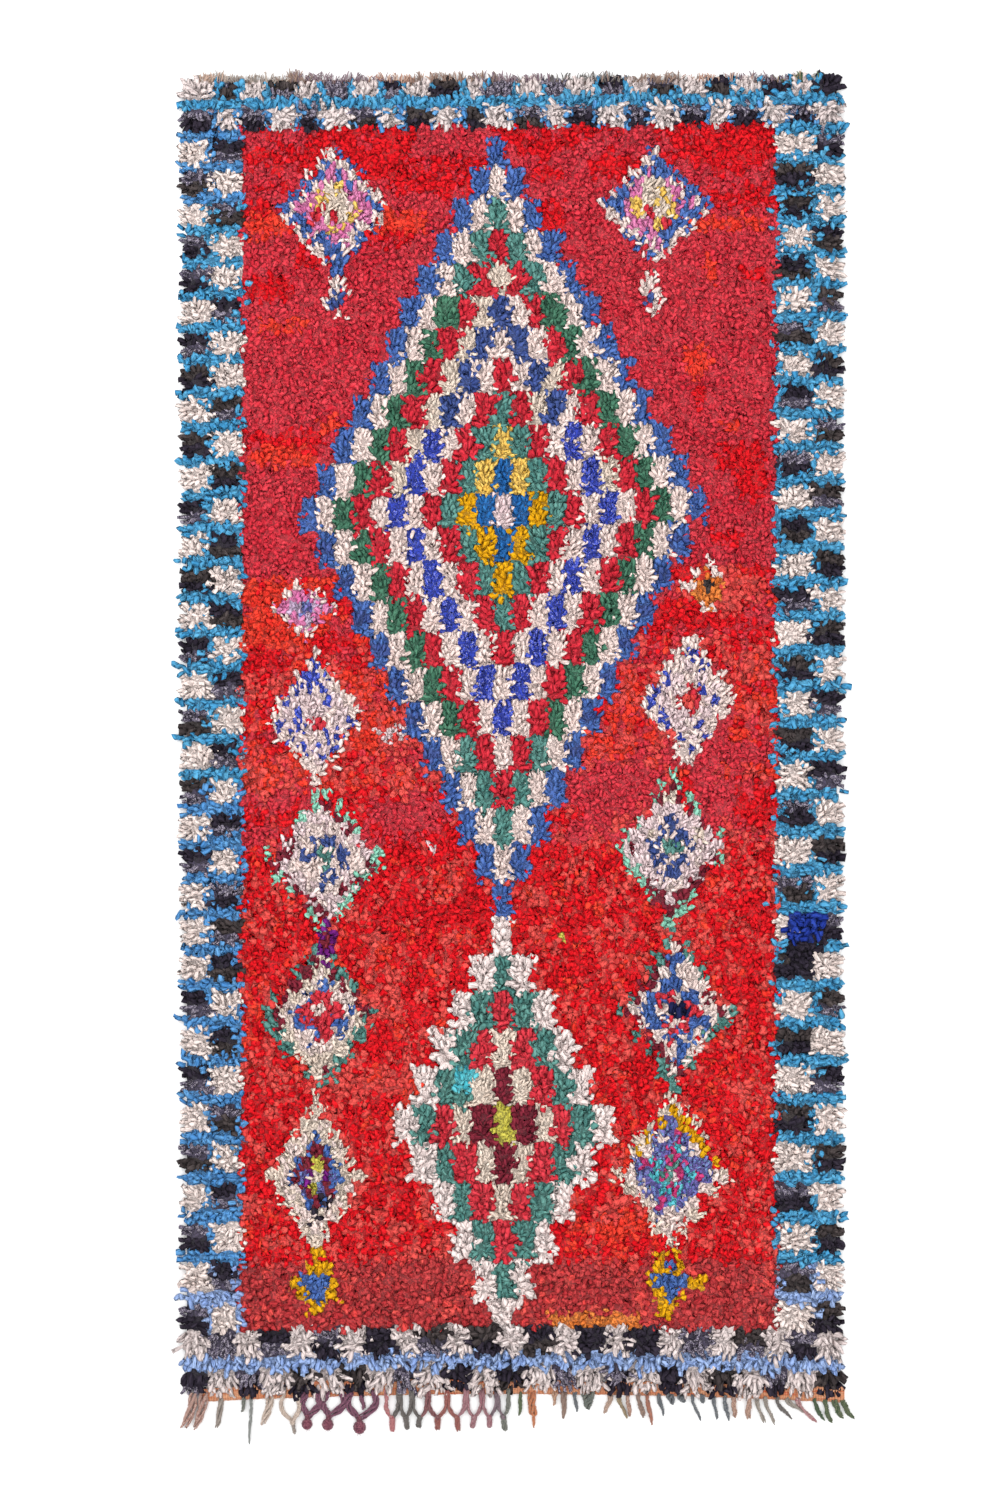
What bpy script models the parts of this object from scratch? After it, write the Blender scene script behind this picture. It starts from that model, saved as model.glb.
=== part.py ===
"""A boucherouite rug lying flat on the floor, pile up. Metres, +Z up, +Y towards the head end.

Three pieces: the knotted rag pile on its ground weave, as one lumpy slab with locks at its rim,
the flat-woven tail band with its netted and knotted fringe, and the narrow head band with its
short cut warp ends. The origin is on the floor under the middle of the rug.
"""

import math
import random

import bmesh
import bpy

# Overall sizes
RUG_WIDTH = 1.300
RUG_LENGTH = 2.590
SEAM_GAP = 0.0003

# The pile: heights above the floor, and how far its locks reach past its edge
PILE_HEIGHT = 0.026
PILE_LUMP = 0.0055
RIM_HEIGHT = 0.020
LOCK_ROOT_LOW = 0.008
SIDE_LOCK_REACH = (0.007, 0.030)
END_LOCK_REACH = (0.005, 0.012)
LOCK_SPREAD = 0.007
HEAD_CORNER_RADIUS = 0.030
PILE_COLUMNS = 34
PILE_ROWS = 66

# The head band and its cut warp ends
HEAD_BAND_DEPTH = 0.008
HEAD_BAND_THICK = 0.003
HEAD_FRINGE_LENGTH = (0.007, 0.018)
HEAD_FRINGE_WIDTH = 0.004
HEAD_FRINGE_LEAN = 0.006
HEAD_FRINGE_COUNT = 54
HEAD_HALF_WIDTH = 0.600

# The tail band. It bows: its two ends lie further down than its middle
TAIL_BAND_DEPTH = 0.024
TAIL_BAND_THICK = 0.004
TAIL_BOW = 0.0175
TAIL_BAND_LEFT = -0.616
TAIL_BAND_RIGHT = 0.629
BAND_STEPS = 20
STRAND_THICK = 0.006
KNOT_THICK = 0.009
TAIL_TAPER = 0.7

# The pile's two long edges: distance down from the head edge, left edge, right edge
LONG_EDGES = (
    (0.00, -0.627, 0.617),
    (0.22, -0.627, 0.614),
    (0.41, -0.620, 0.615),
    (0.60, -0.620, 0.619),
    (0.79, -0.614, 0.610),
    (0.98, -0.622, 0.609),
    (1.07, -0.629, 0.612),
    (1.16, -0.616, 0.614),
    (1.28, -0.627, 0.616),
    (1.44, -0.626, 0.606),
    (1.60, -0.627, 0.623),
    (1.80, -0.627, 0.623),
    (2.01, -0.616, 0.618),
    (2.20, -0.628, 0.626),
    (2.46, -0.624, 0.624),
)

# Loose strands of the tail fringe, in millimetres: root from the centre line, sideways sway of
# the tip, length, width at the root, width at the tip
LOOSE_STRANDS = (
    (-604, -22, 53, 15, 12),
    (-584, -20, 53, 16, 9),
    (-550, -12, 54, 10, 8),
    (-507, -6, 24, 7, 4),
    (-495, -2, 85, 6, 8),
    (-460, -13, 52, 15, 9),
    (-285, 2, 26, 7, 6),
    (14, -5, 44, 8, 5),
    (36, 2, 64, 17, 5),
    (78, -3, 22, 8, 4),
    (96, -4, 47, 10, 6),
    (116, 3, 33, 8, 5),
    (140, 2, 28, 22, 8),
    (182, -11, 37, 9, 7),
    (199, 15, 44, 8, 5),
    (216, 2, 42, 8, 6),
    (236, 10, 43, 8, 7),
    (253, 8, 57, 9, 5),
    (275, 8, 37, 8, 5),
    (296, 3, 15, 12, 7),
    (318, -2, 10, 16, 9),
    (338, 15, 46, 6, 4),
    (356, -1, 11, 10, 6),
    (378, 6, 44, 7, 5),
    (399, 7, 45, 7, 5),
    (416, 0, 37, 8, 8),
    (443, 0, 40, 8, 9),
    (459, 16, 50, 7, 8),
    (476, 17, 49, 7, 6),
    (497, 30, 38, 8, 4),
    (518, 30, 22, 8, 7),
    (537, 34, 42, 9, 6),
    (567, 22, 38, 8, 6),
    (586, 15, 40, 9, 7),
    (605, 19, 31, 10, 8),
    (621, 23, 31, 9, 7),
)

# Pairs of strands knotted into one tail, in millimetres: left root, right root, the knot's place
# across, its depth below the band, the tail's end across, its depth, strand width, tail width
KNOTTED_PAIRS = (
    (-432, -410, -416, 46, -412, 68, 8, 5),
    (-391, -371, -388, 38, -389, 56, 9, 13),
    (-352, -324, -348, 40, -350, 56, 10, 14),
    (-306, -264, -291, 46, -290, 76, 7, 16),
)

# The netted stretch: roots across, then the depths of the forks, knots and tail ends
NET_ROOTS = (-242, -215, -191, -161, -125, -89, -59, -31, -7)
NET_FORK_DEPTH = 26
NET_KNOT_DEPTH = 42
NET_TAIL_DEPTH = 64
NET_STRAND_WIDTH = 7
NET_TAIL_WIDTH = 10

MM = 0.001
SEED = 7


def material(name, colour, roughness):
    """A plain cloth or yarn finish."""
    made = bpy.data.materials.new(name)
    made.use_nodes = True
    shader = made.node_tree.nodes["Principled BSDF"]
    shader.inputs["Base Color"].default_value = (*colour, 1.0)
    shader.inputs["Roughness"].default_value = roughness
    shader.inputs["Metallic"].default_value = 0.0
    return made


def object_from(bm, name, finish):
    """Turns a closed bmesh into a named object with its faces pointing out."""
    bmesh.ops.recalc_face_normals(bm, faces=bm.faces)
    mesh = bpy.data.meshes.new(name)
    bm.to_mesh(mesh)
    bm.free()
    mesh.materials.append(finish)
    made = bpy.data.objects.new(name, mesh)
    bpy.context.scene.collection.objects.link(made)
    return made


def tail_edge_at(x):
    """The tail band's outer edge: a shallow parabola across the rug, placed so that the longest
    loose strand ends at the rug's full length."""
    root, _, longest, _, _ = max(LOOSE_STRANDS, key=lambda strand: strand[2])
    middle = -RUG_LENGTH / 2 + longest * MM + TAIL_BOW * (2 * root * MM / RUG_WIDTH) ** 2
    return middle - TAIL_BOW * (2 * x / RUG_WIDTH) ** 2


def pile_head_edge():
    return RUG_LENGTH / 2 - HEAD_FRINGE_LENGTH[1] - HEAD_BAND_DEPTH


def pile_tail_edge_at(x):
    return tail_edge_at(x) + TAIL_BAND_DEPTH


def long_edges_at(down):
    """Left and right edge of the pile at a distance down from the head, read off LONG_EDGES."""
    for above, below in zip(LONG_EDGES, LONG_EDGES[1:]):
        if down <= below[0]:
            break
    share = (down - above[0]) / (below[0] - above[0])
    left = above[1] + (below[1] - above[1]) * share
    right = above[2] + (below[2] - above[2]) * share
    inset = 0.0
    if down < HEAD_CORNER_RADIUS:
        rise = HEAD_CORNER_RADIUS - down
        inset = HEAD_CORNER_RADIUS - math.sqrt(HEAD_CORNER_RADIUS**2 - rise**2)
    return left + inset, right - inset


def pile_point(column, row, rng):
    """A corner of the pile's top: rim corners are level, the others stand up as lumps."""
    share = row / PILE_ROWS
    head = pile_head_edge()
    down = share * (head - pile_tail_edge_at(0))
    left, right = long_edges_at(down)
    x = left + (right - left) * column / PILE_COLUMNS
    y = head + (pile_tail_edge_at(x) - head) * share
    at_rim = column in (0, PILE_COLUMNS) or row in (0, PILE_ROWS)
    lump = rng.uniform(-PILE_LUMP, PILE_LUMP)
    return x, y, RIM_HEIGHT if at_rim else PILE_HEIGHT + lump


def rim_walk():
    """Grid places round the pile's edge, once round."""
    head = [(c, 0) for c in range(PILE_COLUMNS)]
    right = [(PILE_COLUMNS, r) for r in range(PILE_ROWS)]
    tail = [(c, PILE_ROWS) for c in range(PILE_COLUMNS, 0, -1)]
    left = [(0, r) for r in range(PILE_ROWS, 0, -1)]
    return head + right + tail + left


def pull_lock(bm, wall, outward, reach, sway, rng):
    """Draws a wall's face out into a lock: half way at two thirds of its width, then the tip."""
    for travel, narrow, low in ((0.55, 0.62, 0.78), (0.45, 0.38, 0.45)):
        wall = bmesh.ops.extrude_discrete_faces(bm, faces=[wall])["faces"][0]
        middle = wall.calc_center_median()
        for corner in wall.verts:
            spread = corner.co - middle
            corner.co = middle + spread * narrow
            corner.co += outward * reach * travel
            corner.co.x += outward.y * sway * travel
            corner.co.y += outward.x * sway * travel
            corner.co.z = LOCK_ROOT_LOW + (corner.co.z - LOCK_ROOT_LOW) * low
            corner.co.x = max(-RUG_WIDTH / 2, min(RUG_WIDTH / 2, corner.co.x))


def make_pile(finish):
    """The lumpy slab: a grid of lumps, two bands of wall down to the floor, one flat underside,
    and a lock drawn out of the upper wall all along the sides and at every other end place."""
    rng = random.Random(SEED)
    bm = bmesh.new()
    top = [
        [bm.verts.new(pile_point(column, row, rng)) for column in range(PILE_COLUMNS + 1)]
        for row in range(PILE_ROWS + 1)
    ]
    for upper, lower in zip(top, top[1:]):
        for column in range(PILE_COLUMNS):
            bm.faces.new((upper[column], lower[column], lower[column + 1], upper[column + 1]))
    walk = rim_walk()
    rim = [top[row][column] for column, row in walk]
    middle = [bm.verts.new((v.co.x, v.co.y, LOCK_ROOT_LOW)) for v in rim]
    floor = [bm.verts.new((v.co.x, v.co.y, 0.0)) for v in rim]
    walls = []
    for i in range(len(rim)):
        j = (i + 1) % len(rim)
        walls.append(bm.faces.new((rim[i], rim[j], middle[j], middle[i])))
        bm.faces.new((middle[i], middle[j], floor[j], floor[i]))
    bm.faces.new(floor)
    bmesh.ops.recalc_face_normals(bm, faces=bm.faces)
    for i, ((column, row), wall) in enumerate(zip(walk, walls)):
        at_side = column == PILE_COLUMNS and row < PILE_ROWS or column == 0 and row > 0
        if not at_side and i % 2:
            continue
        outward = wall.normal.copy()
        outward.z = 0.0
        outward.normalize()
        low, high = SIDE_LOCK_REACH if at_side else END_LOCK_REACH
        sway = rng.uniform(-LOCK_SPREAD, LOCK_SPREAD)
        pull_lock(bm, wall, outward, rng.uniform(low, high), sway, rng)
    return object_from(bm, "knotted_pile", finish)


class Plan:
    """A piece drawn in plan as faces that share corners. Each corner has its own height, and the
    piece stands on the floor."""

    def __init__(self):
        self.corners = []
        self.faces = []

    def corner(self, x, y, height):
        self.corners.append((x, y, height))
        return len(self.corners) - 1

    def face(self, *corners):
        self.faces.append(corners)

    def solid(self, name, finish):
        """Top faces, the same faces on the floor, and a wall on every edge used once."""
        bm = bmesh.new()
        top = [bm.verts.new(corner) for corner in self.corners]
        floor = [bm.verts.new((x, y, 0.0)) for x, y, _ in self.corners]
        uses = {}
        for face in self.faces:
            bm.faces.new([top[c] for c in face])
            bm.faces.new([floor[c] for c in reversed(face)])
            for a, b in zip(face, face[1:] + face[:1]):
                uses.setdefault(frozenset((a, b)), []).append((a, b))
        for (a, b), *others in uses.values():
            if not others:
                bm.faces.new((top[b], top[a], floor[a], floor[b]))
        return object_from(bm, name, finish)


def draw_strand(plan, pair, sections, width, height):
    """Adds the ribbon of faces from a pair of corners to a new pair at each section, and returns
    the last one. Sections are (x, y) middles. Width and height run between their end values."""
    for i, (x, y) in enumerate(sections):
        share = (i + 1) / len(sections)
        half = (width[0] + (width[1] - width[0]) * share) / 2
        tall = height[0] + (height[1] - height[0]) * share
        following = (plan.corner(x - half, y, tall), plan.corner(x + half, y, tall))
        plan.face(pair[0], pair[1], following[1], following[0])
        pair = following
    return pair


def band_outline(plan, roots, edge_at, depth, thick, left, right):
    """The band's own face: its outer edge runs through both corners of every root, and its inner
    edge follows the pile. Returns the corner pair of each root."""
    inward = math.copysign(1.0, -edge_at(0))
    outer = [plan.corner(left, edge_at(left), thick)]
    pairs = []
    for x, width in roots:
        pair = tuple(plan.corner(s, edge_at(s), thick) for s in (x - width / 2, x + width / 2))
        pairs.append(pair)
        outer += pair
    outer.append(plan.corner(right, edge_at(right), thick))
    inner = []
    for step in range(BAND_STEPS + 1):
        x = left + (right - left) * step / BAND_STEPS
        inner.append(plan.corner(x, edge_at(x) + inward * (depth - SEAM_GAP), thick))
    plan.face(*outer, *reversed(inner))
    return pairs


def draw_knot(plan, left_pair, right_pair, knot, tail, tail_width):
    """Two strands meet at a raised knot and hang on as one tail."""
    knot_x, knot_y = knot
    half = tail_width / 2
    crotch = plan.corner(knot_x, knot_y + half, KNOT_THICK)
    low_left = plan.corner(knot_x - half, knot_y - half / 2, KNOT_THICK)
    low_right = plan.corner(knot_x + half, knot_y - half / 2, KNOT_THICK)
    plan.face(left_pair[0], left_pair[1], crotch, low_left)
    plan.face(right_pair[0], right_pair[1], low_right, crotch)
    plan.face(low_left, crotch, low_right)
    middle = ((knot_x + tail[0]) / 2, (knot_y + tail[1]) / 2)
    draw_strand(plan, (low_left, low_right), (middle, tail),
                (tail_width, tail_width * TAIL_TAPER), (KNOT_THICK, STRAND_THICK))


def make_tail_band(finish):
    """The orange flat-woven band, its loose strands, knotted pairs and netted stretch."""
    plan = Plan()
    roots = {row[0]: row[3] for row in LOOSE_STRANDS}
    for left, right, *_, width, _ in KNOTTED_PAIRS:
        roots[left] = width
        roots[right] = width
    roots.update({x: NET_STRAND_WIDTH for x in NET_ROOTS})
    ordered = sorted(roots)
    pairs = band_outline(
        plan, [(x * MM, roots[x] * MM) for x in ordered], tail_edge_at,
        TAIL_BAND_DEPTH, TAIL_BAND_THICK, TAIL_BAND_LEFT, TAIL_BAND_RIGHT)
    pair_at = dict(zip(ordered, pairs))

    for x, sway, length, root_width, tip_width in LOOSE_STRANDS:
        edge = tail_edge_at(x * MM)
        sections = [
            ((x + sway * share**1.5) * MM, edge - length * share * MM)
            for share in (0.35, 0.7, 1.0)
        ]
        draw_strand(plan, pair_at[x], sections, (root_width * MM, tip_width * MM),
                    (TAIL_BAND_THICK, STRAND_THICK))

    for left, right, across, depth, end, end_depth, width, tail_width in KNOTTED_PAIRS:
        sides = []
        for x in (left, right):
            bulge = (x + 0.25 * (across - x)) * MM
            bend = (bulge, tail_edge_at(x * MM) - depth * 0.5 * MM)
            sides.append(draw_strand(plan, pair_at[x], (bend,), (width * MM, width * MM),
                                     (TAIL_BAND_THICK, STRAND_THICK)))
        edge = tail_edge_at(across * MM)
        draw_knot(plan, *sides, (across * MM, edge - depth * MM),
                  (end * MM, edge - end_depth * MM), tail_width * MM)

    draw_net(plan, pair_at)
    return plan.solid("tail_band", finish)


def draw_net(plan, pair_at):
    """Each root forks, and each branch is knotted to its neighbour's, which leaves a row of
    six-sided meshes under the band."""
    branches = []
    for i, x in enumerate(NET_ROOTS):
        edge = tail_edge_at(x * MM)
        fork = (x * MM, edge - NET_FORK_DEPTH * MM)
        width = NET_STRAND_WIDTH * MM
        pair = draw_strand(plan, pair_at[x], (fork,), (width, width),
                           (TAIL_BAND_THICK, STRAND_THICK))
        if i in (0, len(NET_ROOTS) - 1):
            branches.append((pair, pair))
            continue
        split = plan.corner(x * MM, fork[1] - width * 0.8, STRAND_THICK)
        plan.face(pair[0], pair[1], split)
        branches.append(((pair[0], split), (split, pair[1])))
    for i, (a, b) in enumerate(zip(NET_ROOTS, NET_ROOTS[1:])):
        across = (a + b) / 2
        edge = tail_edge_at(across * MM)
        draw_knot(plan, branches[i][1], branches[i + 1][0],
                  (across * MM, edge - NET_KNOT_DEPTH * MM),
                  (across * MM, edge - NET_TAIL_DEPTH * MM), NET_TAIL_WIDTH * MM)


def make_head_band(finish):
    """The narrow head band under the pile's first row, with its short cut warp ends."""
    rng = random.Random(SEED + 1)
    plan = Plan()
    head = RUG_LENGTH / 2 - HEAD_FRINGE_LENGTH[1]
    pitch = 2 * HEAD_HALF_WIDTH / HEAD_FRINGE_COUNT
    places = [
        -HEAD_HALF_WIDTH + pitch * (i + 0.5 + rng.uniform(-0.3, 0.3))
        for i in range(HEAD_FRINGE_COUNT)
    ]
    roots = [(x, HEAD_FRINGE_WIDTH) for x in places]
    pairs = band_outline(plan, roots, lambda x: head, HEAD_BAND_DEPTH, HEAD_BAND_THICK,
                         -HEAD_HALF_WIDTH, HEAD_HALF_WIDTH)
    longest = rng.randrange(HEAD_FRINGE_COUNT)
    for i, (x, pair) in enumerate(zip(places, pairs)):
        low, high = HEAD_FRINGE_LENGTH
        length = high if i == longest else rng.uniform(low, high)
        lean = rng.uniform(-HEAD_FRINGE_LEAN, HEAD_FRINGE_LEAN)
        draw_strand(plan, pair, ((x + lean, head + length),),
                    (HEAD_FRINGE_WIDTH, HEAD_FRINGE_WIDTH * TAIL_TAPER),
                    (HEAD_BAND_THICK, HEAD_BAND_THICK))
    return plan.solid("head_band", finish)


for old in list(bpy.data.objects):
    bpy.data.objects.remove(old)
make_pile(material("red rag pile", (0.62, 0.05, 0.05), 0.9))
make_tail_band(material("orange wool weave", (0.62, 0.25, 0.10), 0.95))
make_head_band(material("brown wool warp", (0.42, 0.27, 0.20), 0.95))
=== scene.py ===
"""Looks of a boucherouite rug lying pile up on a pale floor. Metres, +Z up, +Y towards the head."""

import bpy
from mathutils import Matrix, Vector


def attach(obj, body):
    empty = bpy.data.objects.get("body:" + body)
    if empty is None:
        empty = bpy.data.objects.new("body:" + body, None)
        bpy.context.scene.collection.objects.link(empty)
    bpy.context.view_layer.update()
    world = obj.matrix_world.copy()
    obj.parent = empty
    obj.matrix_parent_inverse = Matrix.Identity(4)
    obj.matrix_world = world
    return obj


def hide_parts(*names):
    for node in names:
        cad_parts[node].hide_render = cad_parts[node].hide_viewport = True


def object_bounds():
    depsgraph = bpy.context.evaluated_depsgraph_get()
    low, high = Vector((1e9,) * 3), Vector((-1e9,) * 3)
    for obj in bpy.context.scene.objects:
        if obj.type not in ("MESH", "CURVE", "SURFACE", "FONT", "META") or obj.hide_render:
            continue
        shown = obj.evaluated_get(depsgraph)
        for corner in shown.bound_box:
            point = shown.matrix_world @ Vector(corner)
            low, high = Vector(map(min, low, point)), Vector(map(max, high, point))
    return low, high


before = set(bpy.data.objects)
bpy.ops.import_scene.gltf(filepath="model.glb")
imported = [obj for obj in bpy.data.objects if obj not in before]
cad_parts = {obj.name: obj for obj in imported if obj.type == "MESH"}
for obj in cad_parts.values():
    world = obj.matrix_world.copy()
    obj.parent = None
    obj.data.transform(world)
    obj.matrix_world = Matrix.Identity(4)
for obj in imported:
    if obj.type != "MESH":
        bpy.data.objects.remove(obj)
cad_box = [list(corner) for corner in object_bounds()]

import bpy
import numpy as np


# Ground weave
# The wool ground that carries the pile: warps from head to tail, with wefts beaten in between the
# rows of knots. It lies flat, and on its back every knot shows as a short bar of its rag's colour,
# so the rags and the chart of the knots come first.

# The rags are torn and cut from worn-out clothes. Each kind: darkest shade, lightest shade, width
# and length
RAGS = {
    "scarlet": ((196, 6, 20), (236, 34, 42), 0.0090, 0.0155),
    "poppy": ((216, 34, 30), (244, 76, 54), 0.0090, 0.0155),
    "rose": ((192, 38, 52), (222, 68, 80), 0.0085, 0.0150),
    "coral": ((204, 50, 52), (230, 92, 84), 0.0115, 0.0160),
    "brick": ((160, 34, 42), (206, 76, 76), 0.0100, 0.0155),
    "crimson": ((188, 30, 46), (218, 58, 72), 0.0085, 0.0150),
    "white": ((226, 200, 192), (252, 232, 226), 0.0062, 0.0145),
    "pearl": ((222, 203, 196), (247, 232, 226), 0.0068, 0.0150),
    "chalk": ((204, 188, 186), (232, 218, 215), 0.0068, 0.0160),
    "paper": ((222, 202, 198), (246, 230, 226), 0.0092, 0.0160),
    "blush": ((220, 192, 196), (242, 220, 220), 0.0062, 0.0145),
    "oatmeal": ((218, 196, 180), (244, 228, 212), 0.0050, 0.0145),
    "black": ((30, 25, 36), (60, 53, 66), 0.0080, 0.0145),
    "char": ((44, 38, 40), (84, 75, 74), 0.0085, 0.0145),
    "marl": ((50, 43, 62), (98, 90, 112), 0.0060, 0.0135),
    "sky": ((46, 130, 182), (98, 174, 212), 0.0078, 0.0145),
    "cornflower": ((60, 122, 186), (104, 162, 212), 0.0075, 0.0145),
    "periwinkle": ((120, 148, 206), (170, 192, 230), 0.0075, 0.0140),
    "outline_blue": ((44, 70, 142), (94, 128, 196), 0.0066, 0.0140),
    "royal": ((30, 48, 156), (66, 84, 200), 0.0060, 0.0130),
    "denim": ((48, 66, 128), (84, 104, 166), 0.0066, 0.0140),
    "ocean": ((24, 84, 156), (52, 120, 184), 0.0060, 0.0130),
    "navy": ((14, 16, 42), (34, 40, 84), 0.0080, 0.0240),
    "cobalt": ((20, 38, 126), (50, 76, 172), 0.0080, 0.0185),
    "teal": ((58, 112, 108), (112, 164, 154), 0.0072, 0.0145),
    "green": ((48, 96, 76), (88, 138, 112), 0.0072, 0.0140),
    "mint": ((116, 188, 162), (170, 226, 204), 0.0066, 0.0130),
    "turquoise": ((44, 158, 176), (116, 212, 220), 0.0066, 0.0135),
    "gold": ((206, 142, 4), (240, 182, 28), 0.0080, 0.0140),
    "straw": ((222, 170, 66), (248, 214, 118), 0.0066, 0.0140),
    "lime": ((176, 166, 52), (218, 208, 96), 0.0060, 0.0120),
    "maroon": ((96, 24, 40), (150, 50, 66), 0.0072, 0.0135),
    "pink": ((200, 92, 150), (230, 146, 188), 0.0070, 0.0130),
    "lilac": ((178, 150, 186), (216, 192, 216), 0.0065, 0.0130),
    "orange": ((206, 98, 36), (240, 148, 74), 0.0070, 0.0130),
    "purple": ((84, 14, 92), (136, 44, 144), 0.0075, 0.0130),
    "magenta": ((170, 34, 92), (212, 72, 130), 0.0075, 0.0130),
    "violet": ((76, 70, 148), (132, 122, 192), 0.0065, 0.0130),
}
# Rags with flecks of another shade: that shade and its share
FLECKS = {
    "marl": ((168, 160, 172), 0.42),
    "outline_blue": ((88, 130, 194), 0.16),
    "royal": ((150, 156, 214), 0.22),
    "violet": ((110, 186, 202), 0.18),
}
RAG_NAMES = list(RAGS)


def rag_number(name):
    return RAG_NAMES.index(name)


# The chart of the knots, by columns from the middle warp and rows from the head: borders of checks
# and blue rows, lozenges counted out in steps from their middles, and a red field whose batches
# of rag run in streaks
FIRST_COLUMN, LAST_COLUMN = -54, 57
FIRST_ROW, LAST_ROW = -2, 109
HEAD_ROWS, TAIL_ROWS = 2, 105
CELL_ROWS = 3

random = np.random.default_rng(41)
column, row = (
    grid.ravel() for grid in np.meshgrid(
        np.arange(FIRST_COLUMN, LAST_COLUMN + 1), np.arange(FIRST_ROW, LAST_ROW + 1)))
knots = len(column)
in_field_rows = (row > HEAD_ROWS) & (row < TAIL_ROWS)
# Each knot's rag, whether its ends stand in a tuft, how far it lies from the middle of its cell,
# and the counts of the cell that it shares with its neighbours
rag = np.zeros(knots, int)
tuft = np.zeros(knots)
fan_x = np.zeros(knots)
fan_y = np.zeros(knots)
cell_x = column.copy()
cell_y = row.copy()


def drift(across, along, seed):
    """Smooth noise on the knots, 0 to 1: even random values on a lattice of that many columns and
    rows, blended between its points by the weights 3t^2 - 2t^3."""
    u = (column - FIRST_COLUMN) / across
    v = (row - FIRST_ROW) / along
    lattice = np.random.default_rng(seed).random((int(v.max()) + 2, int(u.max()) + 2))
    i, j = v.astype(int), u.astype(int)
    s, t = v - i, u - j
    s, t = 3 * s**2 - 2 * s**3, 3 * t**2 - 2 * t**3
    upper = lattice[i, j] * (1 - t) + lattice[i, j + 1] * t
    lower = lattice[i + 1, j] * (1 - t) + lattice[i + 1, j + 1] * t
    return upper * (1 - s) + lower * s


def lay(where, name, fan=None, cell=None):
    """Knots a rag at the chosen knots. A fan is how far each lies from its cell's middle, from -1
    to 1 across and along, and its tufts spread that way. A cell is a pair of counts that the
    knots of one cell share."""
    rag[where] = rag_number(name)
    tuft[where] = 0.0 if fan is None else 1.0
    if fan is not None:
        fan_x[where] = fan[0][where]
        fan_y[where] = fan[1][where]
        cell_x[where] = (cell[0] if cell else column)[where]
        cell_y[where] = (cell[1] if cell else row)[where]


# The field's batches of rag: last row, shares of each, how much single knots stray
FIELD_BATCHES = (
    (10, (("scarlet", 0.46), ("rose", 0.36), ("crimson", 0.18)), 0.30),
    (43, (("rose", 0.80), ("crimson", 0.20)), 0.20),
    (49, (("poppy", 0.30), ("rose", 0.38), ("scarlet", 0.32)), 0.25),
    (61, (("poppy", 0.26), ("coral", 0.36), ("scarlet", 0.22), ("rose", 0.16)), 0.6),
    (66, (("rose", 0.42), ("scarlet", 0.40), ("coral", 0.18)), 0.4),
    (99, (("scarlet", 0.62), ("coral", 0.30), ("poppy", 0.08)), 0.9),
    (LAST_ROW, (("brick", 0.82), ("coral", 0.18)), 0.8),
)
# Odd lengths of other rag in the field: middle column and row, half width in knots, half height
# in rows, rag
FIELD_PATCHES = (
    (-40, 11.5, 5, 0.9, "poppy"), (-18, 11.5, 6, 0.8, "poppy"), (-19, 12.8, 4, 0.7, "scarlet"),
    (37, 12, 7, 0.7, "poppy"), (8, 11.6, 3, 0.8, "scarlet"), (38, 5.5, 7, 1.6, "scarlet"),
    (-33, 14.6, 3, 0.6, "scarlet"), (-40, 17.6, 4.5, 0.9, "scarlet"), (35.5, 16.5, 2, 0.6, "poppy"),
    (42, 16.6, 2.5, 0.6, "scarlet"), (-37, 21.2, 4, 0.8, "poppy"), (33, 25, 2.2, 1.4, "poppy"),
    (33, 28.5, 1.4, 0.6, "scarlet"), (-29, 30.2, 2.6, 0.6, "poppy"), (-37, 31.4, 7, 0.8, "scarlet"),
    (-38, 32.8, 7, 1.0, "poppy"), (39, 31.2, 1.2, 0.5, "poppy"), (41, 33.8, 4, 1.2, "scarlet"),
    (38, 41, 3, 0.6, "scarlet"), (-38, 47.5, 8, 2.2, "poppy"), (38, 45.6, 7, 1.6, "coral"),
    (42.5, 36, 3.2, 1.4, "scarlet"), (-6, 59, 14, 0.9, "crimson"), (20, 51, 9, 1.0, "crimson"),
    (19, 62, 9, 2.2, "rose"), (-16, 64, 7, 2.0, "rose"), (36, 59.5, 10, 1.6, "rose"),
    (44, 64.5, 4.5, 1.0, "scarlet"), (-19, 57.2, 2.6, 0.6, "blush"), (-12, 67.4, 0.6, 0.6, "blush"),
    (10.4, 74.4, 0.6, 0.8, "lime"), (16, 104, 8.5, 0.8, "orange"), (-26, 86, 8, 1.0, "coral"),
    (12, 90, 4, 1.0, "poppy"), (20, 97, 8, 1.0, "poppy"), (-6, 72, 16, 1.0, "scarlet"),
)
STREAK_COLUMNS, STREAK_ROWS = 15, 1.7
# How far single knots stray over the outline of a small shape
RAGGED = 0.5

streak = drift(STREAK_COLUMNS, STREAK_ROWS, 5)
streak = np.argsort(np.argsort(streak)) / knots
stray = random.uniform(-0.5, 0.5, knots)
first = FIRST_ROW
for last, shares, straying in FIELD_BATCHES:
    batch = (row >= first) & (row <= last)
    pick = np.mod(streak + stray * straying, 1.0)
    start = 0.0
    for name, share in shares:
        lay(batch & (pick >= start) & (pick < start + share), name)
        start += share
    first = last + 1
for middle_column, middle_row, half_width, half_height, name in FIELD_PATCHES:
    reach = ((column - middle_column) / half_width) ** 2 + ((row - middle_row) / half_height) ** 2
    lay(reach + RAGGED * stray < 1, name)

# The large lozenges are worked in cells of CELL_ROWS rows. A cell's ring is its count of steps
# across plus its count of cells along from the middle one
BIG_RINGS = (
    "blush", "ocean", "straw", "teal", "crimson", "white", "royal", "white", "crimson", "green",
    "white", "outline_blue")
LOW_RINGS = ("lime", "maroon", "oatmeal", "rose", "teal", "paper")
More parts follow.
